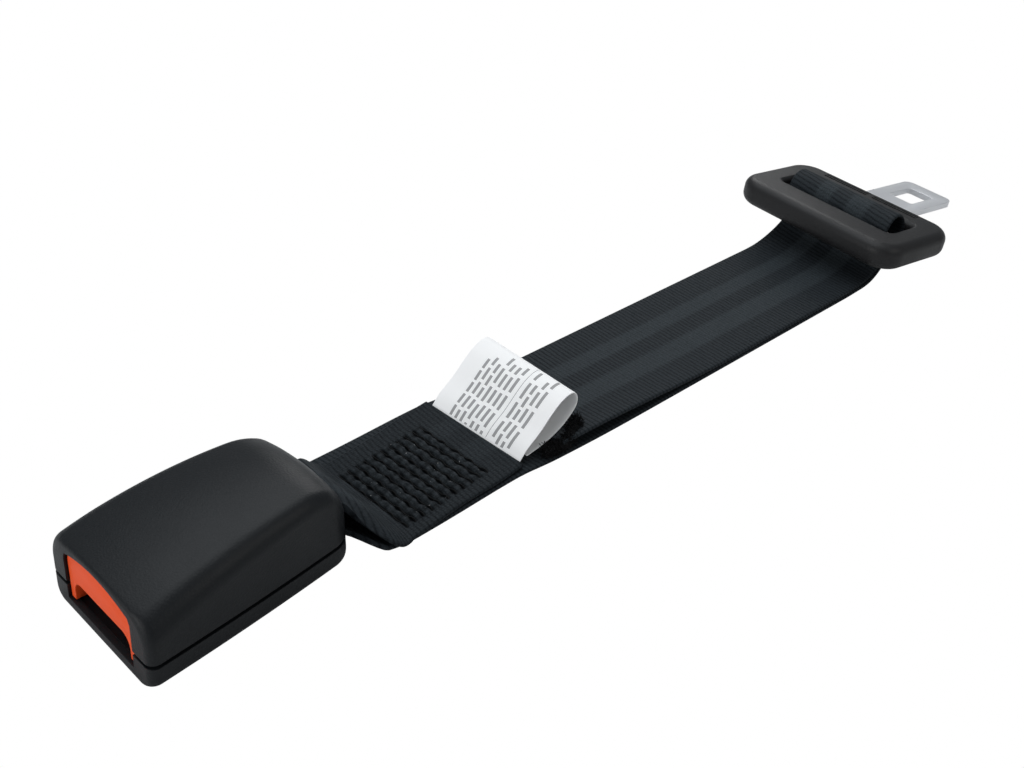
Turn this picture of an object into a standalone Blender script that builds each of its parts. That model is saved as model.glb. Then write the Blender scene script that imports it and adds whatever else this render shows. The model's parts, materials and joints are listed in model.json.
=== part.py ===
"""Seat belt extender: an end-release buckle and a tongue joined by one looped length of webbing.

X runs along the strap from the buckle's mouth to the tongue, Y across it, Z up.
The origin is on the table under the buckle, 31 mm behind its front.
"""
import math

import bmesh
import bpy
from mathutils import Matrix, Vector

mm = 0.001

# Clearances between separate pieces
SEAT_GAP = 0.3 * mm
SLIDE_GAP = 0.4 * mm
CASING_GAP = 0.8 * mm

# Buckle casing
FRONT_DISTANCE = 31.0 * mm
CASING_LENGTH = 65.1 * mm
CASING_FRONT_WIDTH = 49.2 * mm
CASING_REAR_WIDTH = 34.6 * mm
SIDE_BOW = 0.33
FRONT_HEIGHT = 18.5 * mm
PEAK_HEIGHT = 26.0 * mm
REAR_HEIGHT = 19.1 * mm
PEAK_PLACE = 0.765
TOP_CROWN = 2.4 * mm
SIDE_DRAFT = 0.1 * mm
TOP_EDGE_ROUND_FRONT = 6.5 * mm
TOP_EDGE_ROUND_REAR = 3.2 * mm
BOTTOM_EDGE_ROUND = 2.9 * mm
INSIDE_EDGE_ROUND = 0.5 * mm
FRONT_CORNER_ROUND = 3.0 * mm
REAR_CORNER_ROUND = 7.1 * mm
FRONT_TOP_ROUND = 0.8 * mm
REAR_TOP_ROUND = 7.0 * mm
REAR_UNDER_ROUND = 3.0 * mm
FRONT_LEAN = 1.1 * mm
FRONT_LEAN_LENGTH = 12.0 * mm
PARTING_HEIGHT = 7.2 * mm
WALL = 1.9 * mm
FLOOR = 2.2 * mm
LIP_WALL = 0.9 * mm
LIP_HEIGHT = 2.0 * mm

# Mouth at the front and strap opening at the rear
MOUTH_WIDTH = 32.4 * mm
MOUTH_CROWN_HEIGHT = 19.6 * mm
MOUTH_SIDE_HEIGHT = 16.8 * mm
MOUTH_SILL_HEIGHT = 2.6 * mm
MOUTH_CORNER_ROUND = 1.5 * mm
STRAP_OPENING_WIDTH = 27.0 * mm
STRAP_OPENING_TOP = 19.4 * mm
STRAP_OPENING_ROUND = 3.0 * mm

# Release button
BUTTON_GAP = 0.4 * mm
BUTTON_RECESS = 0.8 * mm
BUTTON_FACE_DEPTH = 3.0 * mm
BUTTON_LEG_WIDTH = 2.2 * mm
BUTTON_SLOT_HEIGHT = 9.4 * mm
BUTTON_SLOT_ROUND = 3.5 * mm
BUTTON_HOOD_LENGTH = 11.0 * mm
BUTTON_HOOD_THICKNESS = 2.0 * mm
BUTTON_RAIL_LENGTH = 26.0 * mm
BUTTON_RAIL_WIDTH = 1.5 * mm
BUTTON_RAIL_HEIGHT = 4.0 * mm
BUTTON_TRAVEL = 5.0 * mm

# Steel frame
FRAME_WIDTH = 27.2 * mm
FRAME_THICKNESS = 1.6 * mm
FRAME_BASE_THICKNESS = 2.0 * mm
FRAME_FRONT_INSET = 7.0 * mm
FRAME_REAR_INSET = 8.7 * mm
FRAME_EAR_HEIGHT = 12.2 * mm
FRAME_EAR_ROUND = 3.0 * mm
FRAME_SLOT_WIDTH = 6.0 * mm
FRAME_SLOT_ROUND = 0.6 * mm
STOP_TAB_THICKNESS = 1.4 * mm
STOP_TAB_WIDTH = 8.0 * mm
STOP_TAB_HEIGHT = 4.0 * mm

# Anchor pin and its sleeve
ANCHOR_INSET = 11.1 * mm
ANCHOR_HEIGHT = 10.8 * mm
ANCHOR_RADIUS = 2.0 * mm
SLEEVE_WALL = 0.7 * mm

# Tongue
BLADE_WIDTH = 22.4 * mm
BLADE_LENGTH = 38.5 * mm
BLADE_THICKNESS = 2.3 * mm
BLADE_CORNER_ROUND = 3.4 * mm
BLADE_WINDOW_WIDTH = 11.4 * mm
BLADE_WINDOW_LENGTH = 15.0 * mm
BLADE_WINDOW_ROUND = 1.2 * mm
BLADE_RIM = 6.6 * mm
SHOULDER_WIDTH = 60.0 * mm
SHOULDER_INSET = 4.0 * mm
SHOULDER_ROUND = 3.0 * mm
BAR_WIDTH = 5.6 * mm
SLOT_FRONT = 9.2 * mm
HANDLE_FRONT = 20.6 * mm
HANDLE_REAR = 22.6 * mm
HANDLE_WIDTH = 74.6 * mm
HANDLE_THICKNESS = 10.0 * mm
HANDLE_CORNER_ROUND = 10.0 * mm
HANDLE_EDGE_ROUND = 3.8 * mm
HANDLE_TOP_ABOVE_AXIS = 2.7 * mm
WINDOW_WIDTH = 52.0 * mm
WINDOW_HALF_LENGTH = 8.0 * mm
WINDOW_CORNER_ROUND = 2.0 * mm
WINDOW_FLARE = 1.5 * mm
GRIP_GROOVE_WIDTH = 0.9 * mm
GRIP_GROOVE_DEPTH = 0.8 * mm
GRIP_GROOVE_LENGTH = 21.0 * mm
GRIP_GROOVE_GAP = 2.4 * mm
GRIP_GROOVE_PITCH = 1.5 * mm
GRIP_GROOVE_COUNT = 3
GRIP_GROOVE_INSET = 3.4 * mm

# Tongue's place: the axis of its strap bar, and how it lies
TONGUE_DISTANCE = 250.9 * mm
TONGUE_AXIS_HEIGHT = 19.8 * mm
TONGUE_DROOP = math.radians(5.6)
TONGUE_YAW = math.radians(-4.5)
TONGUE_ROLL = math.radians(2.8)

# Latch, ejector and springs
INSERTION_GAP = 1.5 * mm
HOOK_THICKNESS = 2.8 * mm
HOOK_WIDTH = 9.0 * mm
HOOK_LENGTH = 2.9 * mm
LATCH_REACH = 11.0 * mm
LATCH_SWING = math.radians(15.0)
LATCH_WIDTH = 20.0 * mm
LATCH_THICKNESS = 2.4 * mm
LATCH_BOSS_RADIUS = 3.0 * mm
LATCH_PIN_RADIUS = 1.5 * mm
PIN_HEAD_THICKNESS = 0.7 * mm
PIN_HEAD_RADIUS = 2.4 * mm
EJECTOR_LENGTH = 6.0 * mm
EJECTOR_WIDTH = 12.0 * mm
EJECTOR_NOSE_DROP = 0.8 * mm
EJECTOR_KEEL_WIDTH = 5.2 * mm
EJECTOR_KEEL_DEPTH = 1.4 * mm
SPRING_TURNS = 6
SPRING_POINTS_PER_TURN = 8
EJECTOR_SPRING_RADIUS = 1.4 * mm
EJECTOR_SPRING_WIRE = 0.25 * mm
BUTTON_SPRING_RADIUS = 1.9 * mm
BUTTON_SPRING_WIRE = 0.25 * mm
BUTTON_SPRING_LENGTH = 13.0 * mm
BUTTON_SPRING_INSET = 3.6 * mm
SPRING_WALL_THICKNESS = 1.6 * mm
SPRING_WALL_WIDTH = 26.0 * mm
LATCH_SPRING_RADIUS = 2.2 * mm
LATCH_SPRING_WIRE = 0.3 * mm
LATCH_SPRING_LENGTH = 6.5 * mm
LATCH_SPRING_BOSS_RADIUS = 3.0 * mm

# Webbing
WEB_WIDTH = 47.0 * mm
WEB_THICKNESS = 1.3 * mm
WEB_GATHERED_WIDTH = 23.2 * mm
WEB_GATHERED_THICKNESS = 1.8 * mm
WEB_RIPPLE = 0.35 * mm
TOP_PLY_WIDTH = 44.6 * mm
TOP_PLY_SHIFT = 1.4 * mm
BLOCK_LIFT = 0.9 * mm
BLOCK_START = 14.9 * mm
END_A_DISTANCE = 58.3 * mm
END_B_DISTANCE = 72.4 * mm
UPPER_EDGE_LIFT = 3.4 * mm
UPPER_EDGE_LIFT_LENGTH = 84.0 * mm
TONGUE_LOOP_RADIUS = 6.35 * mm
STRAP_RISE_LENGTH = 30.0 * mm
LOBE_HEIGHT = 15.0 * mm

# Stitching
THREAD_RADIUS = 0.4 * mm
UNDER_THREAD_RADIUS = 0.28 * mm
STITCH_LINES = 10
STITCH_PITCH = 3.29 * mm
STITCH_LENGTH = 3.1 * mm
STITCH_NEAR_INSET = 5.6 * mm
STITCH_FAR_INSET = 10.2 * mm
STITCH_FIRST_INSET = 1.7 * mm
STITCH_WAVE = 0.6 * mm
TACK_LINES = 3
TACK_PITCH = 2.4 * mm
TACK_INSET = 7.0 * mm

# Folded label
LABEL_WIDTH = 40.0 * mm
LABEL_REACH = 38.6 * mm
LABEL_HEIGHT = 17.3 * mm
LABEL_FAR_MARGIN = 2.0 * mm
LABEL_THICKNESS = 0.35 * mm


def clear_scene():
    """Remove every object that the scene starts with."""
    for item in list(bpy.data.objects):
        bpy.data.objects.remove(item, do_unlink=True)


clear_scene()

PARTS = bpy.data.collections.new("seat_belt_extender")
CUTTERS = bpy.data.collections.new("cutters")
bpy.context.scene.collection.children.link(PARTS)
bpy.context.scene.collection.children.link(CUTTERS)

# Places worked out from the sizes above
FRONT_X = -FRONT_DISTANCE
REAR_X = FRONT_X + CASING_LENGTH
FRAME_BASE_BOTTOM = FLOOR + SLIDE_GAP
FRAME_BASE_TOP = FRAME_BASE_BOTTOM + FRAME_BASE_THICKNESS
FRAME_EAR_TOP = FRAME_BASE_BOTTOM + FRAME_EAR_HEIGHT
ANCHOR_X = REAR_X - ANCHOR_INSET
SLEEVE_RADIUS = ANCHOR_RADIUS + SEAT_GAP + SLEEVE_WALL
ANCHOR_LOOP_RADIUS = SLEEVE_RADIUS + SEAT_GAP + WEB_RIPPLE + WEB_GATHERED_THICKNESS / 2
FRAME_INNER_WIDTH = FRAME_WIDTH - 2 * FRAME_THICKNESS
BLADE_PATH_BOTTOM = FRAME_BASE_TOP + SLIDE_GAP
BLADE_PATH_TOP = BLADE_PATH_BOTTOM + BLADE_THICKNESS
TIP_PLACE = FRONT_X + BLADE_LENGTH - INSERTION_GAP
HOOK_DROP_SHIFT = (HOOK_LENGTH + LATCH_THICKNESS / 2) * math.sin(LATCH_SWING) + (
    LATCH_REACH - HOOK_THICKNESS / 2) * (1 - math.cos(LATCH_SWING))
HOOK_REAR = TIP_PLACE - BLADE_RIM - SEAT_GAP - HOOK_DROP_SHIFT
HOOK_FRONT = HOOK_REAR - HOOK_THICKNESS
LATCH_X = HOOK_FRONT + HOOK_THICKNESS / 2 + LATCH_REACH
EJECTOR_FRONT = HOOK_FRONT - SEAT_GAP
EJECTOR_TOP = BLADE_PATH_TOP + SEAT_GAP
HOOK_TIP_HEIGHT = EJECTOR_TOP + SEAT_GAP
LATCH_BOTTOM = HOOK_TIP_HEIGHT + HOOK_LENGTH
LATCH_HEIGHT = LATCH_BOTTOM + LATCH_THICKNESS / 2
LATCH_TOP = LATCH_BOTTOM + LATCH_THICKNESS
END_A_X = REAR_X + END_A_DISTANCE
END_B_X = REAR_X + END_B_DISTANCE
BLOCK_X = REAR_X + BLOCK_START
TONGUE_X = REAR_X + TONGUE_DISTANCE
HANDLE_BOTTOM = HANDLE_TOP_ABOVE_AXIS - HANDLE_THICKNESS
BAR_BOTTOM = -math.sqrt((TONGUE_LOOP_RADIUS - WEB_THICKNESS / 2 - SEAT_GAP) ** 2 - (BAR_WIDTH / 2) ** 2)
BAR_TOP = BAR_BOTTOM + BLADE_THICKNESS
PLY_STEP = WEB_THICKNESS + SEAT_GAP


def material(name, colour, roughness, metallic=0.0):
    """A Principled material in the piece's own colour."""
    result = bpy.data.materials.new(name)
    result.use_nodes = True
    shader = result.node_tree.nodes["Principled BSDF"]
    shader.inputs["Base Color"].default_value = (*colour, 1.0)
    shader.inputs["Roughness"].default_value = roughness
    shader.inputs["Metallic"].default_value = metallic
    return result


BLACK_PLASTIC = material("black_plastic", (0.022, 0.023, 0.025), 0.45)
DARK_PLASTIC = material("dark_plastic", (0.03, 0.03, 0.032), 0.5)
ORANGE_PLASTIC = material("orange_plastic", (0.75, 0.10, 0.035), 0.4)
STEEL = material("steel", (0.55, 0.56, 0.58), 0.3, 1.0)
SPRING_STEEL = material("spring_steel", (0.4, 0.4, 0.42), 0.35, 1.0)
WEBBING = material("webbing", (0.012, 0.014, 0.017), 0.8)
THREAD = material("thread", (0.008, 0.009, 0.011), 0.7)
LABEL_CLOTH = material("label_cloth", (0.85, 0.85, 0.84), 0.7)


def add_object(name, mesh, finish):
    """Put a mesh in the scene as a finished piece, or as a cutter when it has no finish."""
    item = bpy.data.objects.new(name, mesh)
    if finish is None:
        CUTTERS.objects.link(item)
        item.hide_render = True
        item.display_type = "WIRE"
    else:
        PARTS.objects.link(item)
        mesh.materials.clear()
        mesh.materials.append(finish)
    return item


def mesh_from_bmesh(name, body):
    """Turn a bmesh into a mesh with its faces pointing out."""
    bmesh.ops.recalc_face_normals(body, faces=body.faces)
    mesh = bpy.data.meshes.new(name)
    body.to_mesh(mesh)
    body.free()
    return mesh


def loft(name, rings, finish=None):
    """Skin closed rings of equal length with flat triangles and cap both ends."""
    body = bmesh.new()
    loops = [[body.verts.new(point) for point in ring] for ring in rings]
    count = len(rings[0])
    for first, second in zip(loops, loops[1:]):
        for i in range(count):
            j = (i + 1) % count
            body.faces.new((first[i], first[j], second[j], second[i]))
    body.faces.new(loops[0])
    body.faces.new(loops[-1])
    bmesh.ops.triangulate(body, faces=body.faces)
    return add_object(name, mesh_from_bmesh(name, body), finish)


def box(name, low, high, finish=None):
    """A box between two corners."""
    body = bmesh.new()
    low, high = Vector(low), Vector(high)
    size = Matrix.Diagonal((*(high - low), 1.0))
    bmesh.ops.create_cube(body, size=1.0, matrix=Matrix.Translation((low + high) / 2) @ size)
    return add_object(name, mesh_from_bmesh(name, body), finish)


def rod(name, centre, axis, radius, length, finish=None, segments=24):
    """A round bar about a centre."""
    body = bmesh.new()
    turn = Vector((0, 0, 1)).rotation_difference(Vector(axis)).to_matrix().to_4x4()
    bmesh.ops.create_cone(
        body, cap_ends=True, segments=segments, radius1=radius, radius2=radius, depth=length,
        matrix=Matrix.Translation(centre) @ turn)
    return add_object(name, mesh_from_bmesh(name, body), finish)


def rounded(points, radius, steps=4):
    """Round the corners of a flat outline with arcs; radius is one value or one per corner."""
    radii = radius if isinstance(radius, (list, tuple)) else [radius] * len(points)
    result = []
    for i, corner in enumerate(points):
        corner = Vector(corner)
        before = (Vector(points[i - 1]) - corner).normalized()
        after = (Vector(points[(i + 1) % len(points)]) - corner).normalized()
        if radii[i] <= 0:
            result.append(tuple(corner))
            continue
        half_angle = before.angle(after) / 2
        centre = corner + (before + after).normalized() * (radii[i] / math.sin(half_angle))
        start = corner + before * (radii[i] / math.tan(half_angle)) - centre
        end = corner + after * (radii[i] / math.tan(half_angle)) - centre
        turn = math.atan2(start.x * end.y - start.y * end.x, start.dot(end))
        for step in range(steps + 1):
            angle = turn * step / steps
            x = start.x * math.cos(angle) - start.y * math.sin(angle)
            y = start.x * math.sin(angle) + start.y * math.cos(angle)
            result.append((centre.x + x, centre.y + y))
    return result


def rectangle(low_x, high_x, low_y, high_y):
    """Corners of a rectangle, counter-clockwise."""
    return [(low_x, low_y), (high_x, low_y), (high_x, high_y), (low_x, high_y)]


def plate(name, outlines, thickness, place, finish=None):
    """A flat plate from filled 2D outlines; the first is the edge and the others are holes."""
    curve = bpy.data.curves.new(name, "CURVE")
    curve.dimensions = "2D"
    curve.fill_mode = "BOTH"
    curve.extrude = thickness / 2
    for outline in outlines:
        spline = curve.splines.new("POLY")
        spline.points.add(len(outline) - 1)
        for point, (x, y) in zip(spline.points, outline):
            point.co = (x, y, 0, 1)
        spline.use_cyclic_u = True
    return curve_to_mesh(name, curve, place, finish)


def curve_to_mesh(name, curve, place, finish):
    """Turn a curve into one welded mesh object and remove the curve."""
    draft = bpy.data.objects.new(name + "_curve", curve)
    bpy.context.scene.collection.objects.link(draft)
    draft.matrix_world = place
    graph = bpy.context.evaluated_depsgraph_get()
    mesh = bpy.data.meshes.new_from_object(draft.evaluated_get(graph))
    mesh.name = name
    bpy.data.objects.remove(draft, do_unlink=True)
    body = bmesh.new()
    body.from_mesh(mesh)
    bmesh.ops.remove_doubles(body, verts=body.verts, dist=0.002 * mm)
    bmesh.ops.recalc_face_normals(body, faces=body.faces)
    body.to_mesh(mesh)
    body.free()
    item = add_object(name, mesh, finish)
    item.matrix_world = place
    return item


def wire(name, points, radius, finish, resolution=0):
    """A round wire along a polyline, closed at both ends."""
    curve = bpy.data.curves.new(name, "CURVE")
    curve.dimensions = "3D"
    curve.bevel_depth = radius
    curve.bevel_resolution = resolution
    curve.use_fill_caps = True
    spline = curve.splines.new("POLY")
    spline.points.add(len(points) - 1)
    for point, place in zip(spline.points, points):
        point.co = (*place, 1)
    return curve_to_mesh(name, curve, Matrix.Identity(4), finish)


def boolean(item, cutter, operation="DIFFERENCE"):
    """Cut, join or intersect with a hidden cutter."""
    step = item.modifiers.new(operation.lower(), "BOOLEAN")
    step.operation = operation
    step.object = cutter
    step.solver = "EXACT"


def bevel(item, width, segments, angle=40.0):
    """Round the sharp edges."""
    step = item.modifiers.new("rounded_edges", "BEVEL")
    step.width = width
    step.segments = segments
    step.limit_method = "ANGLE"
    step.angle_limit = math.radians(angle)


def smooth(item, angle=35.0):
    """Shade a piece smooth and keep its real corners sharp."""
    item.data.shade_smooth()
    item.data.set_sharp_from_angle(angle=math.radians(angle))


def plane_yz(x):
    """Place a flat outline upright across the strap: its x runs along Y, its y runs along Z."""
    return Matrix(((0, 0, 1, x), (1, 0, 0, 0), (0, 1, 0, 0), (0, 0, 0, 1)))


def plane_xz(y):
    """Place a flat outline upright along the strap: its x runs along X, its y runs along Z."""
    return Matrix(((1, 0, 0, 0), (0, 0, -1, y), (0, 1, 0, 0), (0, 0, 0, 1)))


def round_off(distance, radius):
    """How far a quarter-round end has dropped at a distance from that end."""
    if radius <= 0 or distance >= radius:
        return 0.0
    return radius - math.sqrt(max(radius ** 2 - (radius - max(distance, 0.0)) ** 2, 0.0))


def casing_half_width(x, inset):
    """Half the casing's width at x, with its tapered sides and rounded plan corners."""
    along = (x - FRONT_X) / CASING_LENGTH
    taper = (CASING_FRONT_WIDTH - CASING_REAR_WIDTH) / 2
    half = CASING_FRONT_WIDTH / 2 - taper * ((1 - SIDE_BOW) * along + SIDE_BOW * along ** 2) - inset
    half -= round_off(x - FRONT_X - inset, FRONT_CORNER_ROUND - inset)
    return half - round_off(REAR_X - inset - x, REAR_CORNER_ROUND - inset)


def casing_top(x, inset):
    """Height of the casing's top at x: it rises towards the rear and rolls over behind its peak."""
    along = (x - FRONT_X) / CASING_LENGTH
    if along < PEAK_PLACE:
        height = PEAK_HEIGHT - (PEAK_HEIGHT - FRONT_HEIGHT) * (1 - along / PEAK_PLACE) ** 2
    else:
        height = PEAK_HEIGHT - (PEAK_HEIGHT - REAR_HEIGHT) * ((along - PEAK_PLACE) / (1 - PEAK_PLACE)) ** 2
    height -= round_off(x - FRONT_X - inset, FRONT_TOP_ROUND)
    return height - inset - round_off(REAR_X - inset - x, REAR_TOP_ROUND - inset)


def front_lean(x, z):
    """How far the casing's sloping front is set back at a height; it fades out behind the front."""
    fade = 1 - (x - FRONT_X) / FRONT_LEAN_LENGTH
    return FRONT_LEAN * z / FRONT_HEIGHT * min(max(fade, 0.0), 1.0)


def casing_stations(inset):
    """X positions along the casing, closer together where its corners turn."""
    start, end = FRONT_X + inset, REAR_X - inset
    front = max(FRONT_CORNER_ROUND - inset, INSIDE_EDGE_ROUND)
    rear = max(REAR_CORNER_ROUND - inset, INSIDE_EDGE_ROUND)
    turns = [1 - math.cos(math.radians(angle)) for angle in (0, 22, 40, 58, 75)]
    middle_start, middle_end = start + front, end - rear
    middle = [middle_start + (middle_end - middle_start) * i / 7 for i in range(8)]
    return [start + front * t for t in turns] + middle + [end - rear * t for t in reversed(turns)]


def upper_ring(x, inset, bottom):
    """Section of the top cover: drafted sides, round top edges and a crowned top."""
    half = casing_half_width(x, inset)
    top = casing_top(x, inset)
    along = (x - FRONT_X) / CASING_LENGTH
    edge_round = TOP_EDGE_ROUND_FRONT + (TOP_EDGE_ROUND_REAR - TOP_EDGE_ROUND_FRONT) * along
    radius = min(edge_round - inset, 0.8 * half, 0.8 * (top - bottom))
    draft = SIDE_DRAFT * (top - radius - PARTING_HEIGHT) / (PEAK_HEIGHT - PARTING_HEIGHT)
    flat = half - draft - radius
    side = [(flat + radius * math.cos(math.radians(a)), top - radius + radius * math.sin(math.radians(a)))
            for a in (0, 18, 36, 54, 72, 90)]
    side += [(flat * k, top) for k in (0.66, 0.33)]
    drop = SIDE_DRAFT * (bottom - PARTING_HEIGHT) / (PEAK_HEIGHT - PARTING_HEIGHT)
    far = [(half - drop, bottom)] + [(y, z + TOP_CROWN * (1 - (y / half) ** 2)) for y, z in side]
    ring = far + [(0.0, top + TOP_CROWN)] + [(-y, z) for y, z in reversed(far)]
    return [(x + front_lean(x, z), y, z) for y, z in ring]


def lower_ring(x, inset, top, floor):
    """Section of the bottom cover: upright sides, round lower edges and a flat underside."""
    half = casing_half_width(x, inset)
    under = floor + round_off(REAR_X - inset - x, REAR_UNDER_ROUND)
    radius = max(BOTTOM_EDGE_ROUND - inset, INSIDE_EDGE_ROUND)
    radius = min(radius, 0.8 * half, 0.8 * (top - under))
    far = [(half, top)]
    for angle in (0, 22, 45, 67, 90):
        turn = math.radians(angle)
        far.append((half - radius + radius * math.cos(turn), under + radius - radius * math.sin(turn)))
    ring = far + [(-y, z) for y, z in reversed(far)]
    return [(x + front_lean(x, z), y, z) for y, z in ring]


def upper_loft(name, inset, bottom, finish=None):
    """The top cover's outer form, or its hollow, as one solid."""
    return loft(name, [upper_ring(x, inset, bottom) for x in casing_stations(inset)], finish)


def lower_loft(name, inset, top, floor, finish=None):
    """The bottom cover's outer form, or its hollow, as one solid."""
    return loft(name, [lower_ring(x, inset, top, floor) for x in casing_stations(inset)], finish)


def mouth_outline(gap, sill):
    """The arched mouth, seen from the front, shrunk all round by a gap."""
    half = MOUTH_WIDTH / 2 - gap
    side = MOUTH_SIDE_HEIGHT - gap
    crown = MOUTH_CROWN_HEIGHT - gap
    places = (0.95, 0.7, 0.45, 0.2, 0, -0.2, -0.45, -0.7, -0.95)
    arch = [(half * k, side + (crown - side) * (1 - k ** 2)) for k in places]
    return [(-half, sill), (half, sill), (half, side - MOUTH_CORNER_ROUND)] + arch + [
        (-half, side - MOUTH_CORNER_ROUND)]


def strap_opening():
    """Cutter for the rear opening that the strap passes through."""
    half = STRAP_OPENING_WIDTH / 2
    outline = rounded(rectangle(-half, half, FLOOR + SEAT_GAP, STRAP_OPENING_TOP), STRAP_OPENING_ROUND)
    return plate("cut_strap_opening", [outline], 2 * REAR_CORNER_ROUND, plane_yz(REAR_X))


def make_top_cover(rear_cut):
    """Deep upper shell with the arched mouth, the spring wall and the latch spring's boss."""
    cover = upper_loft("top_cover", 0.0, PARTING_HEIGHT + CASING_GAP / 2, BLACK_PLASTIC)
    boolean(cover, upper_loft("cut_top_hollow", WALL, 0.0))
    depth = 2 * (FRONT_CORNER_ROUND + WALL)
    boolean(cover, plate("cut_top_mouth", [mouth_outline(0.0, 0.0)], depth, plane_yz(FRONT_X)))
    boolean(cover, rear_cut)
    wall_x = button_spring_end()
    wall_bottom = max(LATCH_TOP + SLIDE_GAP, FRAME_EAR_TOP) + SEAT_GAP
    wall_top = casing_top(wall_x, WALL / 2) + 0.75 * TOP_CROWN
    wall = box(
        "join_spring_wall", (wall_x, -SPRING_WALL_WIDTH / 2, wall_bottom),
        (wall_x + SPRING_WALL_THICKNESS, SPRING_WALL_WIDTH / 2, wall_top))
    boolean(cover, wall, "UNION")
    boss_x = latch_spring_x()
    boss_bottom = LATCH_TOP + SEAT_GAP + LATCH_SPRING_LENGTH + SEAT_GAP
    boss_top = casing_top(boss_x, WALL / 2) + TOP_CROWN
    boss = rod(
        "join_latch_boss", (boss_x, 0, (boss_bottom + boss_top) / 2), (0, 0, 1),
        LATCH_SPRING_BOSS_RADIUS, boss_top - boss_bottom, segments=16)
    boolean(cover, boss, "UNION")
    smooth(cover)


def make_bottom_cover(rear_cut):
    """Shallow lower shell with a lip that locates the top cover."""
    top = PARTING_HEIGHT - CASING_GAP / 2
    cover = lower_loft("bottom_cover", 0.0, top, 0.0, BLACK_PLASTIC)
    lip_inset = WALL + SEAT_GAP
    boolean(cover, lower_loft("join_lip", lip_inset, PARTING_HEIGHT + LIP_HEIGHT, FLOOR / 2), "UNION")
    boolean(cover, lower_loft("cut_bottom_hollow", lip_inset + LIP_WALL, PEAK_HEIGHT, FLOOR))
    depth = 2 * (FRONT_CORNER_ROUND + WALL)
    mouth = mouth_outline(0.0, MOUTH_SILL_HEIGHT)
    boolean(cover, plate("cut_bottom_mouth", [mouth], depth, plane_yz(FRONT_X)))
    boolean(cover, rear_cut)
    smooth(cover)


def button_spring_start():
    """X of the button springs' front ends, behind the hood's inner wall."""
    return FRONT_X + BUTTON_RECESS + BUTTON_FACE_DEPTH + SEAT_GAP


def button_spring_end():
    """X of the wall that the button springs push against."""
    return button_spring_start() + BUTTON_SPRING_LENGTH + BUTTON_TRAVEL + SEAT_GAP


def latch_spring_x():
    """X of the small spring that presses the latch down."""
    return (HOOK_REAR + LATCH_X) / 2


def make_button():
    """Arched orange button around the tongue slot, with a hood above and a rail on each side."""
    front = FRONT_X + BUTTON_RECESS
    face_middle = front + BUTTON_FACE_DEPTH / 2
    sill = MOUTH_SILL_HEIGHT + BUTTON_GAP
    face = mouth_outline(BUTTON_GAP, sill)
    button = plate("release_button", [face], BUTTON_FACE_DEPTH, plane_yz(face_middle), ORANGE_PLASTIC)
    for vertex in button.data.vertices:
        if vertex.co.z < 0:
            vertex.co.z += front_lean(FRONT_X, vertex.co.y)
    slot_half = MOUTH_WIDTH / 2 - BUTTON_GAP - BUTTON_LEG_WIDTH
    slot = rounded(
        rectangle(-slot_half, slot_half, 0.0, BUTTON_SLOT_HEIGHT),
        [0, 0, BUTTON_SLOT_ROUND, BUTTON_SLOT_ROUND])
    hood_end = front + BUTTON_FACE_DEPTH + BUTTON_HOOD_LENGTH
    hood_outer = mouth_outline(BUTTON_GAP, MOUTH_SIDE_HEIGHT - 2 * BUTTON_HOOD_THICKNESS)
    hood = plate(
        "join_hood", [hood_outer], hood_end - face_middle, plane_yz((face_middle + hood_end) / 2))
    boolean(button, hood, "UNION")
    room = mouth_outline(BUTTON_GAP + BUTTON_HOOD_THICKNESS, 0.0)
    room_middle = plane_yz(front + BUTTON_FACE_DEPTH + BUTTON_HOOD_LENGTH)
    boolean(button, plate("cut_hood_room", [room], 2 * BUTTON_HOOD_LENGTH, room_middle))
    rail_end = front + BUTTON_FACE_DEPTH + BUTTON_RAIL_LENGTH
    rail_inner = FRAME_WIDTH / 2 + SLIDE_GAP
    rail_top = BUTTON_SLOT_HEIGHT + BUTTON_RAIL_HEIGHT / 2
    for side, label in ((1, "far"), (-1, "near")):
        low_y, high_y = sorted((side * rail_inner, side * (rail_inner + BUTTON_RAIL_WIDTH)))
        rail = box(
            "join_rail_" + label, (front + BUTTON_FACE_DEPTH / 2, low_y, rail_top - BUTTON_RAIL_HEIGHT),
            (rail_end, high_y, rail_top))
        boolean(button, rail, "UNION")
    boolean(button, plate("cut_tongue_slot", [slot], 3 * BUTTON_FACE_DEPTH, plane_yz(face_middle)))
    smooth(button)
    return button


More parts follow.
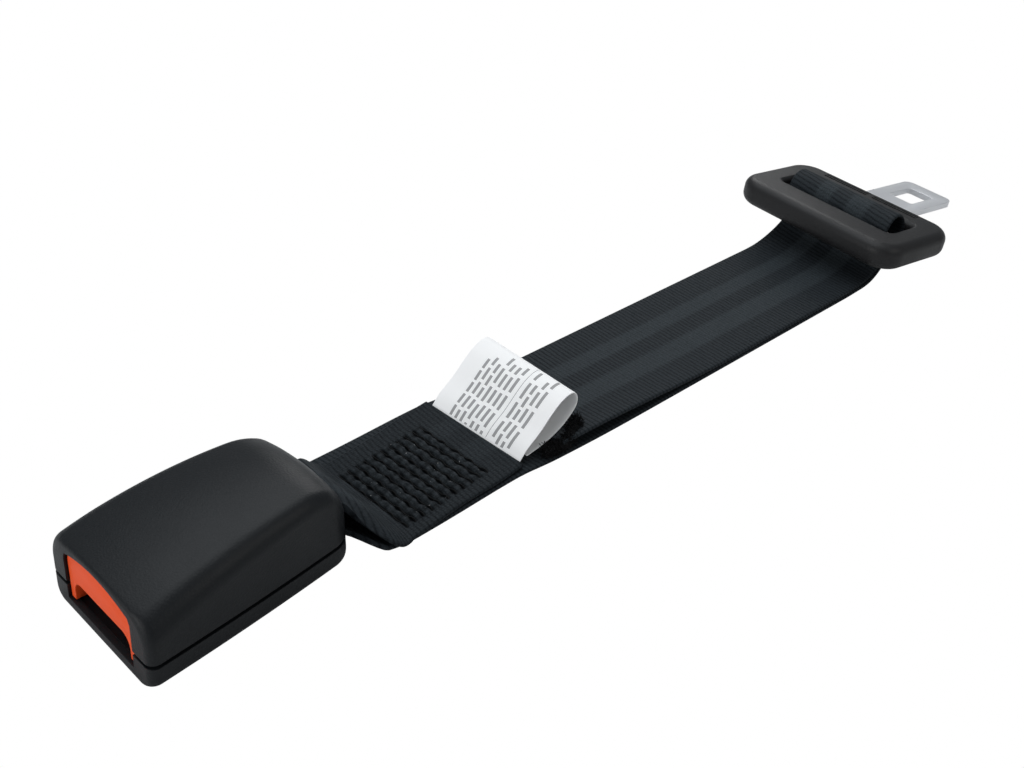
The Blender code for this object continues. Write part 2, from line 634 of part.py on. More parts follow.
def make_frame():
    """Folded steel channel: a slotted base, two ears with pin holes and a bent-up stop tab."""
    start = FRONT_X + FRAME_FRONT_INSET
    hood_end = FRONT_X + BUTTON_RECESS + BUTTON_FACE_DEPTH + BUTTON_HOOD_LENGTH
    ear_start = hood_end + BUTTON_TRAVEL + SLIDE_GAP
    end = REAR_X - FRAME_REAR_INSET
    half = FRAME_WIDTH / 2
    tab_x = stop_tab_x()
    slot_half = FRAME_SLOT_WIDTH / 2
    outline = rounded(rectangle(start, end, -half, half), FRAME_EAR_ROUND)
    slot = rounded(
        rectangle(EJECTOR_FRONT - SLIDE_GAP, tab_x - SLIDE_GAP, -slot_half, slot_half), FRAME_SLOT_ROUND)
    base_middle = Matrix.Translation((0, 0, (FRAME_BASE_BOTTOM + FRAME_BASE_TOP) / 2))
    frame = plate("buckle_frame", [outline, slot], FRAME_BASE_THICKNESS, base_middle, STEEL)
    overlap = FRAME_BASE_THICKNESS / 2
    ear = rounded(
        rectangle(ear_start, end, FRAME_BASE_TOP - overlap, FRAME_EAR_TOP),
        [0, 0, FRAME_EAR_ROUND, FRAME_EAR_ROUND])
    for side, label in ((1, "far"), (-1, "near")):
        place = plane_xz(side * (half - FRAME_THICKNESS / 2))
        boolean(frame, plate("join_ear_" + label, [ear], FRAME_THICKNESS, place), "UNION")
    tab = box(
        "join_stop_tab", (tab_x, -STOP_TAB_WIDTH / 2, FRAME_BASE_TOP - overlap),
        (tab_x + STOP_TAB_THICKNESS, STOP_TAB_WIDTH / 2, FRAME_BASE_TOP + STOP_TAB_HEIGHT))
    boolean(frame, tab, "UNION")
    for label, x, z, radius in (
            ("anchor", ANCHOR_X, ANCHOR_HEIGHT, ANCHOR_RADIUS),
            ("latch", LATCH_X, LATCH_HEIGHT, LATCH_PIN_RADIUS)):
        holes = rod("cut_%s_holes" % label, (x, 0, z), (0, 1, 0), radius + SEAT_GAP, 2 * FRAME_WIDTH)
        boolean(frame, holes)
    smooth(frame)


def stop_tab_x():
    """X of the tab that the ejector spring pushes against, just clear of the strap's loop."""
    return ANCHOR_X - ANCHOR_LOOP_RADIUS - WEB_GATHERED_THICKNESS / 2 - SLIDE_GAP - STOP_TAB_THICKNESS


def make_pins():
    """Anchor pin with its plastic sleeve, and the riveted latch pin."""
    anchor = (ANCHOR_X, 0, ANCHOR_HEIGHT)
    rod("anchor_pin", anchor, (0, 1, 0), ANCHOR_RADIUS, FRAME_WIDTH, STEEL)
    length = FRAME_INNER_WIDTH - 2 * SEAT_GAP
    sleeve = rod("anchor_sleeve", anchor, (0, 1, 0), SLEEVE_RADIUS, length, DARK_PLASTIC, 32)
    bore = rod("cut_sleeve_bore", anchor, (0, 1, 0), ANCHOR_RADIUS + SEAT_GAP, FRAME_WIDTH, segments=32)
    boolean(sleeve, bore)
    latch = (LATCH_X, 0, LATCH_HEIGHT)
    head_face = FRAME_WIDTH / 2 + SEAT_GAP / 3
    pin = rod("latch_pin", latch, (0, 1, 0), LATCH_PIN_RADIUS, 2 * head_face + PIN_HEAD_THICKNESS, STEEL)
    for side, label in ((1, "far"), (-1, "near")):
        middle = (LATCH_X, side * (head_face + PIN_HEAD_THICKNESS / 2), LATCH_HEIGHT)
        head = rod("join_pin_head_" + label, middle, (0, 1, 0), PIN_HEAD_RADIUS, PIN_HEAD_THICKNESS)
        boolean(pin, head, "UNION")


def make_latch():
    """Steel latch on its pin: a plate with a hook that drops into the blade's window."""
    half = LATCH_WIDTH / 2
    hook_half = HOOK_WIDTH / 2
    outline = [
        (HOOK_FRONT, -hook_half), (HOOK_REAR, -hook_half), (HOOK_REAR + HOOK_THICKNESS, -half),
        (LATCH_X, -half), (LATCH_X, half), (HOOK_REAR + HOOK_THICKNESS, half),
        (HOOK_REAR, hook_half), (HOOK_FRONT, hook_half)]
    place = Matrix.Translation((0, 0, LATCH_HEIGHT))
    latch = plate("latch", [rounded(outline, 0.6 * mm, 2)], LATCH_THICKNESS, place, STEEL)
    hook = box(
        "join_hook", (HOOK_FRONT, -hook_half, HOOK_TIP_HEIGHT),
        (HOOK_REAR, hook_half, LATCH_BOTTOM + LATCH_THICKNESS / 2))
    boolean(latch, hook, "UNION")
    pivot = (LATCH_X, 0, LATCH_HEIGHT)
    boolean(latch, rod("join_latch_barrel", pivot, (0, 1, 0), LATCH_BOSS_RADIUS, LATCH_WIDTH), "UNION")
    bore = rod("cut_latch_bore", pivot, (0, 1, 0), LATCH_PIN_RADIUS + SEAT_GAP, 2 * LATCH_WIDTH)
    boolean(latch, bore)
    smooth(latch)


def make_ejector():
    """Plastic slider with a sloping nose that holds the latch up until the blade pushes it back."""
    bottom = FRAME_BASE_TOP + SEAT_GAP
    end = EJECTOR_FRONT + EJECTOR_LENGTH
    ramp = HOOK_THICKNESS + SEAT_GAP
    side = [
        (EJECTOR_FRONT, bottom), (end, bottom), (end, EJECTOR_TOP),
        (EJECTOR_FRONT + ramp, EJECTOR_TOP), (EJECTOR_FRONT, EJECTOR_TOP - EJECTOR_NOSE_DROP)]
    ejector = plate("ejector", [side], EJECTOR_WIDTH, plane_xz(0.0), DARK_PLASTIC)
    half = EJECTOR_KEEL_WIDTH / 2
    keel = box(
        "join_keel", (EJECTOR_FRONT + SEAT_GAP, -half, bottom - EJECTOR_KEEL_DEPTH),
        (end - SEAT_GAP, half, bottom + SEAT_GAP))
    boolean(ejector, keel, "UNION")
    guide_radius = EJECTOR_SPRING_RADIUS - EJECTOR_SPRING_WIRE - SEAT_GAP
    guide_length = EJECTOR_LENGTH / 2
    guide = rod(
        "join_spring_guide", (end + guide_length / 2 - SEAT_GAP, 0, ejector_spring_height()), (1, 0, 0),
        guide_radius, guide_length, segments=12)
    boolean(ejector, guide, "UNION")


def ejector_spring_height():
    """Height of the ejector spring's axis, just clear of the frame's base."""
    return FRAME_BASE_TOP + SEAT_GAP + EJECTOR_SPRING_RADIUS + EJECTOR_SPRING_WIRE


def coil(name, start, axis, length, radius, wire_radius):
    """A compression spring: closed end turns and an evenly open middle."""
    turn = Vector((0, 0, 1)).rotation_difference(Vector(axis)).to_matrix()
    count = SPRING_TURNS * SPRING_POINTS_PER_TURN
    points = []
    for i in range(count + 1):
        angle = 2 * math.pi * i / SPRING_POINTS_PER_TURN
        along = wire_radius + (length - 2 * wire_radius) * i / count
        point = Vector((radius * math.cos(angle), radius * math.sin(angle), along))
        points.append(Vector(start) + turn @ point)
    return wire(name, points, wire_radius, SPRING_STEEL)


def make_springs():
    """Ejector spring, latch spring and the pair of button springs."""
    start = EJECTOR_FRONT + EJECTOR_LENGTH + SEAT_GAP
    coil(
        "ejector_spring", (start, 0, ejector_spring_height()), (1, 0, 0),
        stop_tab_x() - SEAT_GAP - start, EJECTOR_SPRING_RADIUS, EJECTOR_SPRING_WIRE)
    coil(
        "latch_spring", (latch_spring_x(), 0, LATCH_TOP + SEAT_GAP), (0, 0, 1),
        LATCH_SPRING_LENGTH, LATCH_SPRING_RADIUS, LATCH_SPRING_WIRE)
    hood_roof = MOUTH_SIDE_HEIGHT - BUTTON_GAP - BUTTON_HOOD_THICKNESS
    height = hood_roof - BUTTON_SPRING_RADIUS - BUTTON_SPRING_WIRE - SEAT_GAP / 2
    length = button_spring_end() - SEAT_GAP - button_spring_start()
    spread = FRAME_INNER_WIDTH / 2 - BUTTON_SPRING_INSET
    for side, label in ((1, "far"), (-1, "near")):
        coil(
            "button_spring_" + label, (button_spring_start(), side * spread, height),
            (1, 0, 0), length, BUTTON_SPRING_RADIUS, BUTTON_SPRING_WIRE)


def tongue_place():
    """Where the tongue's own frame sits: its origin is the axis that it swings on."""
    turn = Matrix.Rotation(TONGUE_YAW, 4, "Z") @ Matrix.Rotation(TONGUE_DROOP, 4, "Y")
    turn = turn @ Matrix.Rotation(TONGUE_ROLL, 4, "X")
    return Matrix.Translation((TONGUE_X, 0, TONGUE_AXIS_HEIGHT)) @ turn


def blade_outline(grow):
    """The tongue plate's edge, grown all round for the pocket that it is moulded into."""
    tip = HANDLE_FRONT + BLADE_LENGTH + grow
    shoulder = HANDLE_FRONT - SHOULDER_INSET + grow
    blade = BLADE_WIDTH / 2 + grow
    side = SHOULDER_WIDTH / 2 + grow
    rear = -BAR_WIDTH / 2 - grow
    corners = [
        (tip, -blade), (tip, blade), (shoulder, blade), (shoulder, side), (rear, side),
        (rear, -side), (shoulder, -side), (shoulder, -blade)]
    tip_round, shoulder_round = BLADE_CORNER_ROUND, SHOULDER_ROUND
    return rounded(corners, [tip_round, tip_round, 0, shoulder_round, 0, 0, shoulder_round, 0], 5)


def make_tongue():
    """Steel tongue plate with its window and strap bar, and the handle moulded round it."""
    place = tongue_place()
    pivot = bpy.data.objects.new("tongue_pivot", None)
    PARTS.objects.link(pivot)
    pivot.matrix_world = place
    rim = HANDLE_FRONT + BLADE_LENGTH - BLADE_RIM
    half = BLADE_WINDOW_WIDTH / 2
    window = rounded(rectangle(rim - BLADE_WINDOW_LENGTH, rim, -half, half), BLADE_WINDOW_ROUND)
    slot_half = WINDOW_WIDTH / 2 + SEAT_GAP
    slot = rounded(rectangle(BAR_WIDTH / 2, SLOT_FRONT, -slot_half, slot_half), 1.0 * mm)
    middle = Matrix.Translation((0, 0, (BAR_BOTTOM + BAR_TOP) / 2))
    metal = plate("tongue_plate", [blade_outline(0.0), window, slot], BLADE_THICKNESS, middle, STEEL)
    smooth(metal)
    handle_middle = Matrix.Translation((0, 0, HANDLE_BOTTOM + HANDLE_THICKNESS / 2))
    edge = rounded(
        rectangle(-HANDLE_REAR, HANDLE_FRONT, -HANDLE_WIDTH / 2, HANDLE_WIDTH / 2), HANDLE_CORNER_ROUND, 6)
    handle = plate("tongue_handle", [edge], HANDLE_THICKNESS, handle_middle, BLACK_PLASTIC)
    bevel(handle, HANDLE_EDGE_ROUND, 3)
    pocket = plate("cut_plate_pocket", [blade_outline(SEAT_GAP)], BLADE_THICKNESS + 2 * SEAT_GAP, middle)
    cutters = [pocket, window_cutter()] + grip_grooves()
    for cutter in cutters:
        boolean(handle, cutter)
    smooth(handle)
    for piece in [metal, handle] + cutters:
        piece.parent = pivot


def window_cutter():
    """Through window in the handle, flared at its top and bottom edges."""
    rings = []
    for height, grow in (
            (HANDLE_TOP_ABOVE_AXIS + WINDOW_FLARE, 1.3 * WINDOW_FLARE),
            (HANDLE_TOP_ABOVE_AXIS, WINDOW_FLARE),
            (HANDLE_TOP_ABOVE_AXIS - 0.4 * WINDOW_FLARE, 0.4 * WINDOW_FLARE),
            (HANDLE_TOP_ABOVE_AXIS - 1.3 * WINDOW_FLARE, 0.0), (HANDLE_BOTTOM + WINDOW_FLARE, 0.0),
            (HANDLE_BOTTOM - WINDOW_FLARE, 2 * WINDOW_FLARE)):
        x, y = WINDOW_HALF_LENGTH + grow, WINDOW_WIDTH / 2 + grow
        outline = rounded(rectangle(-x, x, -y, y), WINDOW_CORNER_ROUND + grow)
        rings.append([(px, py, height) for px, py in outline])
    return loft("cut_handle_window", rings)


def grip_grooves():
    """Rows of long grooves in the handle's top, beside the blade, with a gap at the middle."""
    cutters = []
    for row in range(GRIP_GROOVE_COUNT):
        x = HANDLE_FRONT - GRIP_GROOVE_INSET - row * GRIP_GROOVE_PITCH
        for side, label in ((1, "far"), (-1, "near")):
            inner = side * GRIP_GROOVE_GAP / 2
            outer = side * (GRIP_GROOVE_GAP / 2 + GRIP_GROOVE_LENGTH)
            low, high = sorted((inner, outer))
            cutters.append(box(
                "cut_grip_%s_%d" % (label, row),
                (x - GRIP_GROOVE_WIDTH / 2, low, HANDLE_TOP_ABOVE_AXIS - GRIP_GROOVE_DEPTH),
                (x + GRIP_GROOVE_WIDTH / 2, high, HANDLE_TOP_ABOVE_AXIS + GRIP_GROOVE_DEPTH)))
    return cutters


def bezier(start, first, second, end, steps):
    """Points of a cubic curve, without its start."""
    points = []
    for i in range(1, steps + 1):
        t = i / steps
        weights = ((1 - t) ** 3, 3 * t * (1 - t) ** 2, 3 * t ** 2 * (1 - t), t ** 3)
        points.append(tuple(
            sum(w * p[k] for w, p in zip(weights, (start, first, second, end))) for k in range(2)))
    return points


def straight(start, end, steps):
    """Points of a straight run, without its start."""
    return [(start[0] + (end[0] - start[0]) * i / steps, start[1] + (end[1] - start[1]) * i / steps)
            for i in range(1, steps + 1)]


def arc(centre, radius, first, last, steps):
    """Points of an arc in the strap's side view, between two angles in degrees."""
    angles = [math.radians(first + (last - first) * i / steps) for i in range(1, steps + 1)]
    return [(centre[0] + radius * math.cos(a), centre[1] + radius * math.sin(a)) for a in angles]


def buckle_loop_path(block_low, block_high):
    """Side view from the block's top ply round the anchor pin to its bottom ply."""
    loop_top = ANCHOR_HEIGHT + ANCHOR_LOOP_RADIUS
    loop_bottom = ANCHOR_HEIGHT - ANCHOR_LOOP_RADIUS
    start = (BLOCK_X, block_high)
    lobe = (REAR_X - SEAT_GAP, max(LOBE_HEIGHT, loop_top))
    reach = (BLOCK_X - REAR_X) / 2
    path = [start]
    path += bezier(
        start, (BLOCK_X - 0.8 * reach, block_high), (REAR_X + reach, lobe[1] + SEAT_GAP), lobe, 9)
    path += bezier(
        lobe, (lobe[0] - 3 * mm, lobe[1] - SEAT_GAP), (ANCHOR_X + 3 * mm, loop_top),
        (ANCHOR_X, loop_top), 2)
    path += arc((ANCHOR_X, ANCHOR_HEIGHT), ANCHOR_LOOP_RADIUS, 90, 270, 10)
    path += bezier(
        (ANCHOR_X, loop_bottom), (REAR_X, loop_bottom), (REAR_X + 0.8 * reach, block_low),
        (BLOCK_X, block_low), 9)
    return path


def tongue_loop_path(low, high):
    """Side view from the bottom ply up round the tongue's bar and back to the upper ply."""
    x, z, r = TONGUE_X, TONGUE_AXIS_HEIGHT, TONGUE_LOOP_RADIUS
    neck = z - r - 2.2 * mm
    start = (x - STRAP_RISE_LENGTH, low)
    end = (x - STRAP_RISE_LENGTH, high)
    front = arc((x, z), r, -60, -59, 1)[0]
    rear = arc((x, z), r, 239, 240, 1)[0]
    path = bezier(
        start, (x - 0.35 * STRAP_RISE_LENGTH, low), (x - 0.2 * STRAP_RISE_LENGTH, low + 0.3 * (neck - low)),
        (x - 0.6 * mm, neck), 8)
    path += bezier(
        (x - 0.6 * mm, neck), (x + 0.6 * mm, neck + 1.2 * mm),
        (front[0] - 1.2 * mm, front[1] - 0.8 * mm), front, 3)
    path += arc((x, z), r, -59, 240, 18)
    neck_rear = (x - 2.6 * mm, neck + 0.6 * mm)
    path += bezier(
        rear, (rear[0] + 0.5 * mm, rear[1] - 0.4 * mm),
        (neck_rear[0] + 0.4 * mm, neck_rear[1] + 0.8 * mm), neck_rear, 2)
    path += bezier(
        neck_rear, (x - 0.2 * STRAP_RISE_LENGTH, neck - 0.5 * (neck - high)),
        (x - 0.45 * STRAP_RISE_LENGTH, high), end, 8)
    return path


def smooth_step(value):
    """Ease from 0 to 1."""
    value = min(max(value, 0.0), 1.0)
    return value * value * (3 - 2 * value)


def webbing_path():
    """The whole side-view route: end A, buckle loop, bottom run, tongue loop, upper run, end B."""
    low = WEB_THICKNESS / 2
    block_low = low + BLOCK_LIFT
    high = low + PLY_STEP
    block_high = block_low + PLY_STEP
    path = [(END_A_X, block_high)]
    path += straight(path[-1], (BLOCK_X, block_high), 4)
    path += buckle_loop_path(block_low, block_high)[1:]
    path += straight(path[-1], (END_A_X - 4 * mm, block_low), 3)
    settle = (END_A_X + 14 * mm, low)
    path += bezier(path[-1], (END_A_X + 2 * mm, block_low), (END_A_X + 6 * mm, low), settle, 3)
    rise = TONGUE_X - STRAP_RISE_LENGTH
    path += straight(path[-1], (rise, low), 7)
    path += tongue_loop_path(low, high)
    path += straight(path[-1], (END_B_X, high), 9)
    return path


def gather(x):
    """How far the strap is gathered at x: 1 in the buckle, 0 where it lies flat."""
    return smooth_step((BLOCK_X - x) / (BLOCK_X - REAR_X))


def across_direction(point):
    """Direction across the strap, turning to the tongue's own axis near the tongue."""
    axis = tongue_place().to_3x3() @ Vector((0, 1, 0))
    share = smooth_step((point[0] - (TONGUE_X - 0.8 * STRAP_RISE_LENGTH)) / (0.6 * STRAP_RISE_LENGTH))
    return Vector((0, 1, 0)).lerp(axis, share).normalized()


def webbing_ring(point, tangent, top_ply, upper_run):
    """Section of the strap at one point of its route."""
    across = across_direction(point)
    normal = tangent.cross(across).normalized()
    share = gather(point[0])
    width, shift_across = (TOP_PLY_WIDTH, TOP_PLY_SHIFT) if top_ply else (WEB_WIDTH, 0.0)
    half = (width + (WEB_GATHERED_WIDTH - width) * share) / 2
    thickness = WEB_THICKNESS + (WEB_GATHERED_THICKNESS - WEB_THICKNESS) * share
    centre = Vector((point[0], shift_across * (1 - share), point[1]))
    rows = []
    for i in range(13):
        s = -1 + 2 * i / 12
        shift = WEB_RIPPLE * share * (1 - s ** 2) * math.sin(2.5 * math.pi * s)
        lift = 0.0
        if upper_run:
            fade = 1 - smooth_step((point[0] - END_B_X) / UPPER_EDGE_LIFT_LENGTH)
            lift = UPPER_EDGE_LIFT * fade * ((1 - s) / 2) ** 2
        edge = thickness / 2 * (0.72 if i in (0, 12) else 1.0)
        base = centre + across * (half * s) + Vector((0, 0, lift))
        rows.append((base + normal * (shift + edge), base + normal * (shift - edge)))
    ring = [top for top, _ in rows] + [bottom for _, bottom in reversed(rows)]
    return [tuple(p) for p in ring]


def make_webbing():
    """One length of webbing, looped round the anchor pin and round the tongue's bar."""
    path = webbing_path()
    buckle_turn = min(range(len(path)), key=lambda i: path[i][0])
    tongue_turn = max(range(len(path)), key=lambda i: path[i][0])
    rings = []
    for i, point in enumerate(path):
        before, after = path[max(i - 1, 0)], path[min(i + 1, len(path) - 1)]
        tangent = Vector((after[0] - before[0], 0, after[1] - before[1])).normalized()
        upper_run = i > tongue_turn and point[0] < TONGUE_X - STRAP_RISE_LENGTH
        rings.append(webbing_ring(point, tangent, i < buckle_turn, upper_run))
    smooth(loft("webbing", rings, WEBBING))


def stitch_route(first_x, lines, pitch, near, far, height, wave):
    """A boustrophedon row of stitches across the strap, each dipping at its needle holes."""
    points = []
    count = max(2, round((far - near) / STITCH_LENGTH) * 2)
    for line in range(lines):
        x = first_x + line * pitch
        row = [near + (far - near) * i / count for i in range(count + 1)]
        if line % 2 == 0:
            row.reverse()
        for i, y in enumerate(row):
            points.append((x + wave * (0.5 if i % 2 else -0.5), y, height))
    return points


def make_stitching():
    """The block's thread above and below, and the tack that holds the strap's second end."""
    top = BLOCK_LIFT + PLY_STEP + WEB_THICKNESS
    near = -WEB_WIDTH / 2 + STITCH_NEAR_INSET
    far = WEB_WIDTH / 2 - STITCH_FAR_INSET
    first_x = BLOCK_X + STITCH_FIRST_INSET
    over = top + THREAD_RADIUS + SEAT_GAP / 2
    route = stitch_route(first_x, STITCH_LINES, STITCH_PITCH, near, far, over, STITCH_WAVE)
    wire("block_stitching", route, THREAD_RADIUS, THREAD)
    under = BLOCK_LIFT - SEAT_GAP / 2 - UNDER_THREAD_RADIUS
    route = stitch_route(first_x, STITCH_LINES, STITCH_PITCH, near, far, under, 0.0)
    wire("underside_stitching", route, UNDER_THREAD_RADIUS, THREAD)
    tack_x = END_B_X + TACK_INSET
    route = []
    for x, y, _ in stitch_route(tack_x, TACK_LINES, TACK_PITCH, near, far, 0.0, STITCH_WAVE):
        fade = 1 - smooth_step((x - END_B_X) / UPPER_EDGE_LIFT_LENGTH)
        lift = UPPER_EDGE_LIFT * fade * ((1 - 2 * y / WEB_WIDTH) / 2) ** 2
        route.append((x, y, WEB_THICKNESS + PLY_STEP + lift + SEAT_GAP + THREAD_RADIUS))
    wire("end_tack", route, THREAD_RADIUS, THREAD)


def label_profile(share):
    """Side view of the folded label, in shares of its reach and height; share is 0 at its far edge."""
    far = [
        (0.0, 0.0), (0.18, 0.37), (0.39, 0.61), (0.62, 0.67), (0.83, 0.52), (0.97, 0.32),
        (1.0, 0.21), (0.945, 0.14), (0.67, 0.09), (0.36, 0.07), (0.05, 0.052)]
    near = [
        (0.0, 0.0), (0.09, 0.37), (0.22, 0.66), (0.37, 0.87), (0.505, 0.97), (0.6, 1.0),
        (0.663, 0.915), (0.673, 0.73), (0.557, 0.43), (0.31, 0.24), (0.05, 0.052)]
    return [(a + (c - a) * share, b + (d - b) * share) for (a, b), (c, d) in zip(far, near)]


def make_label():
    """Folded cloth label, sewn in at the end of the stitched block and standing up as a loop."""
    base_x = END_A_X + SEAT_GAP + LABEL_THICKNESS
    base_z = BLOCK_LIFT + WEB_THICKNESS + SEAT_GAP + LABEL_THICKNESS
    far = WEB_WIDTH / 2 - LABEL_FAR_MARGIN
    rings = []
    for i in range(9):
        share = i / 8
        points = [Vector((base_x + x * LABEL_REACH, base_z + z * LABEL_HEIGHT))
                  for x, z in label_profile(smooth_step(share))]
        outer, inner = [], []
        for j, point in enumerate(points):
            before, after = points[max(j - 1, 0)], points[min(j + 1, len(points) - 1)]
            side = (after - before).normalized()
            offset = Vector((-side.y, side.x)) * (LABEL_THICKNESS / 2)
            outer.append(point + offset)
            inner.append(point - offset)
        y = far - LABEL_WIDTH * share
        rings.append([(p.x, y, p.y) for p in outer + inner[::-1]])
    smooth(loft("label", rings, LABEL_CLOTH))


def main():
    """Build every piece."""
    rear_cut = strap_opening()
    make_top_cover(rear_cut)
    make_bottom_cover(rear_cut)
    make_button()
    make_frame()
    make_pins()
    make_latch()
    make_ejector()
    make_springs()
    make_tongue()
    make_webbing()
    make_stitching()
    make_label()


main()
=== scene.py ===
"""Looks of the seat belt extender: fine casing, woven strap, stitching, folded label, steel and light."""

import json
import math
import random

import bmesh
import bpy
from mathutils import Matrix, Vector, noise


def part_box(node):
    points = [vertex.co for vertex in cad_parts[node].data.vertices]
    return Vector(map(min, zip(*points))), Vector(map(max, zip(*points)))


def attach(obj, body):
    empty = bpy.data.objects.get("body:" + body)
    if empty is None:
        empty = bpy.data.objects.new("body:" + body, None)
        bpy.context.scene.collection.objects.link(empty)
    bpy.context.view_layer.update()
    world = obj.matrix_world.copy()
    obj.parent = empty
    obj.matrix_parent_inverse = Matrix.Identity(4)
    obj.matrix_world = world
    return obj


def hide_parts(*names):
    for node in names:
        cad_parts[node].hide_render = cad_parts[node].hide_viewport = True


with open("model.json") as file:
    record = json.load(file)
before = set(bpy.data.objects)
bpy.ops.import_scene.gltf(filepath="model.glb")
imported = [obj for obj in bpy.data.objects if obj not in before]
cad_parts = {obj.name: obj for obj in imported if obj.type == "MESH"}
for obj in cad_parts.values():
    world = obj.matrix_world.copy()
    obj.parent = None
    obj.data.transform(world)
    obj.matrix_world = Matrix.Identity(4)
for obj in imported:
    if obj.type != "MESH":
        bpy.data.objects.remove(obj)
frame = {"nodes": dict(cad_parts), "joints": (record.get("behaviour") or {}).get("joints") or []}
NODES = frame["nodes"]
JOINTS = {joint["name"]: joint for joint in frame["joints"]}
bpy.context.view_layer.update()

mm = 0.001

# Places read from the frame
FRONT_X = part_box("bottom_cover")[0].x
REAR_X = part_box("bottom_cover")[1].x
CASING_LENGTH = REAR_X - FRONT_X
ANCHOR_X = JOINTS["strap_swing"]["pos_m"][0]
ANCHOR_HEIGHT = JOINTS["strap_swing"]["pos_m"][2]
TONGUE_POINT = Vector(JOINTS["tongue_swing"]["pos_m"])
TONGUE_ACROSS = Vector(JOINTS["tongue_swing"]["axis"]).normalized()
TONGUE_X, TONGUE_AXIS_HEIGHT = TONGUE_POINT.x, TONGUE_POINT.z

# Camera, fitted to the photograph
CAMERA_PLACE = Vector((-112.4, -223.3, 218.5)) * mm
CAMERA_YAW = 0.7939
CAMERA_PITCH = 0.5761
CAMERA_ROLL = -0.0298
FOCAL_PIXELS = 1228.0
PHOTO_WIDTH = 1024
SENSOR_WIDTH = 36.0

# Casing
CASING_FRONT_WIDTH = 49.2 * mm
CASING_REAR_WIDTH = 34.6 * mm
SIDE_BOW = 0.33
FRONT_HEIGHT = 18.5 * mm
PEAK_HEIGHT = 26.0 * mm
REAR_HEIGHT = 19.1 * mm
PEAK_PLACE = 0.765
TOP_CROWN = 2.4 * mm
SIDE_DRAFT = 0.1 * mm
TOP_EDGE_ROUND_FRONT = 6.5 * mm
TOP_EDGE_ROUND_REAR = 3.2 * mm
BOTTOM_EDGE_ROUND = 2.9 * mm
INSIDE_EDGE_ROUND = 0.5 * mm
FRONT_CORNER_ROUND = 3.0 * mm
REAR_CORNER_ROUND = 7.1 * mm
FRONT_TOP_ROUND = 0.8 * mm
REAR_TOP_ROUND = 7.0 * mm
REAR_UNDER_ROUND = 3.0 * mm
FRONT_LEAN = 1.1 * mm
FRONT_LEAN_LENGTH = 12.0 * mm
PARTING_HEIGHT = 7.2 * mm
CASING_GAP = 0.8 * mm
GROOVE_EDGE = 0.2 * mm
LIP_THICKNESS = 0.6 * mm
LIP_GAP = 0.05 * mm
WALL = 1.9 * mm
FLOOR = 2.2 * mm
MOUTH_WIDTH = 32.4 * mm
MOUTH_CROWN_HEIGHT = 19.6 * mm
MOUTH_SIDE_HEIGHT = 16.8 * mm
MOUTH_SILL_HEIGHT = 2.6 * mm
MOUTH_CORNER_ROUND = 1.5 * mm
STRAP_OPENING_WIDTH = 27.0 * mm
STRAP_OPENING_TOP = 19.4 * mm
STRAP_OPENING_ROUND = 3.0 * mm
SEAT_GAP = 0.3 * mm
ROUND_LIMIT = 0.8
CORNER_ANGLES = (0, 6, 12, 18, 24, 30, 36, 42, 50, 58, 66, 75, 83)
SIDE_STATIONS = 40
ROOF_STEPS = 12
MOUTH_STEPS = 20

# Strap
WEB_WIDTH = 47.0 * mm
WEB_THICKNESS = 1.3 * mm
WEB_GATHERED_WIDTH = 23.2 * mm
WEB_GATHERED_THICKNESS = 1.8 * mm
PLY_STEP = WEB_THICKNESS + SEAT_GAP
BLOCK_LIFT = 0.9 * mm
BLOCK_X = REAR_X + 14.9 * mm
END_A_X = REAR_X + 58.3 * mm
END_B_X = REAR_X + 72.4 * mm
UPPER_LIFT = 3.4 * mm
UPPER_LIFT_LENGTH = 84.0 * mm
TONGUE_LOOP_RADIUS = 6.35 * mm
ANCHOR_LOOP_RADIUS = 4.55 * mm
STRAP_RISE_LENGTH = 30.0 * mm
NECK_DROP = 2.2 * mm
NECK_HALF = 0.6 * mm
REAR_NECK = 2.6 * mm
SETTLE_START = 4.0 * mm
SETTLE_END = 14.0 * mm
LOBE_HEIGHT = 15.0 * mm
EDGE_LENGTH = 0.7 * mm
EDGE_SHARE = 0.45
STRAP_STEP = 2.8 * mm
STRAP_FINE_STEP = 0.45 * mm
STRAP_COLUMNS = 96

# The top ply lies a little askew and narrower than the strap's own width
TOP_PLY_HALF = 22.1 * mm
TOP_PLY_SQUEEZE = 1.1 * mm
TOP_PLY_CENTRE = 1.2 * mm
TOP_PLY_SKEW = 0.11
SQUEEZE_START = 7.0 * mm
SQUEEZE_LENGTH = 20.0 * mm

# Where the top ply rolls into the casing, in mm, in equal steps from the block to the casing's rear face
LOBE_NEAR_Y = [-24.4, -25.4, -25.6, -23.4, -16.8, -11.2]
LOBE_NEAR_Z = [3.15, 3.1, 3.7, 5.4, 8.8, 14.0]
LOBE_FAR_Y = [19.2, 18.2, 16.6, 14.6, 12.4, 10.4]
LOBE_FAR_Z = [3.15, 4.6, 7.6, 11.0, 13.8, 15.0]
LOBE_CENTRE_Z = [3.15, 4.3, 7.4, 11.3, 14.3, 15.3]
LOBE_CURL = 2.2
LOBE_WRINKLE = 0.5 * mm
LOBE_STEPS = 24
ENTRY_STEPS = 8
BLOCK_STEPS = round((END_A_X - BLOCK_X) / STRAP_FINE_STEP) + 1
BUCKLE_PLY_STEPS = BLOCK_STEPS + LOBE_STEPS + ENTRY_STEPS

# The lower run stays wide until close to the casing, and lies a little to the far side under the label
LOWER_GATHER_START = 40.5 * mm
LOWER_GATHER_LENGTH = 6.5 * mm
LOWER_SHIFT = 1.2 * mm
LOWER_SHIFT_X = 90.0 * mm
LOWER_SHIFT_LENGTH = 25.0 * mm

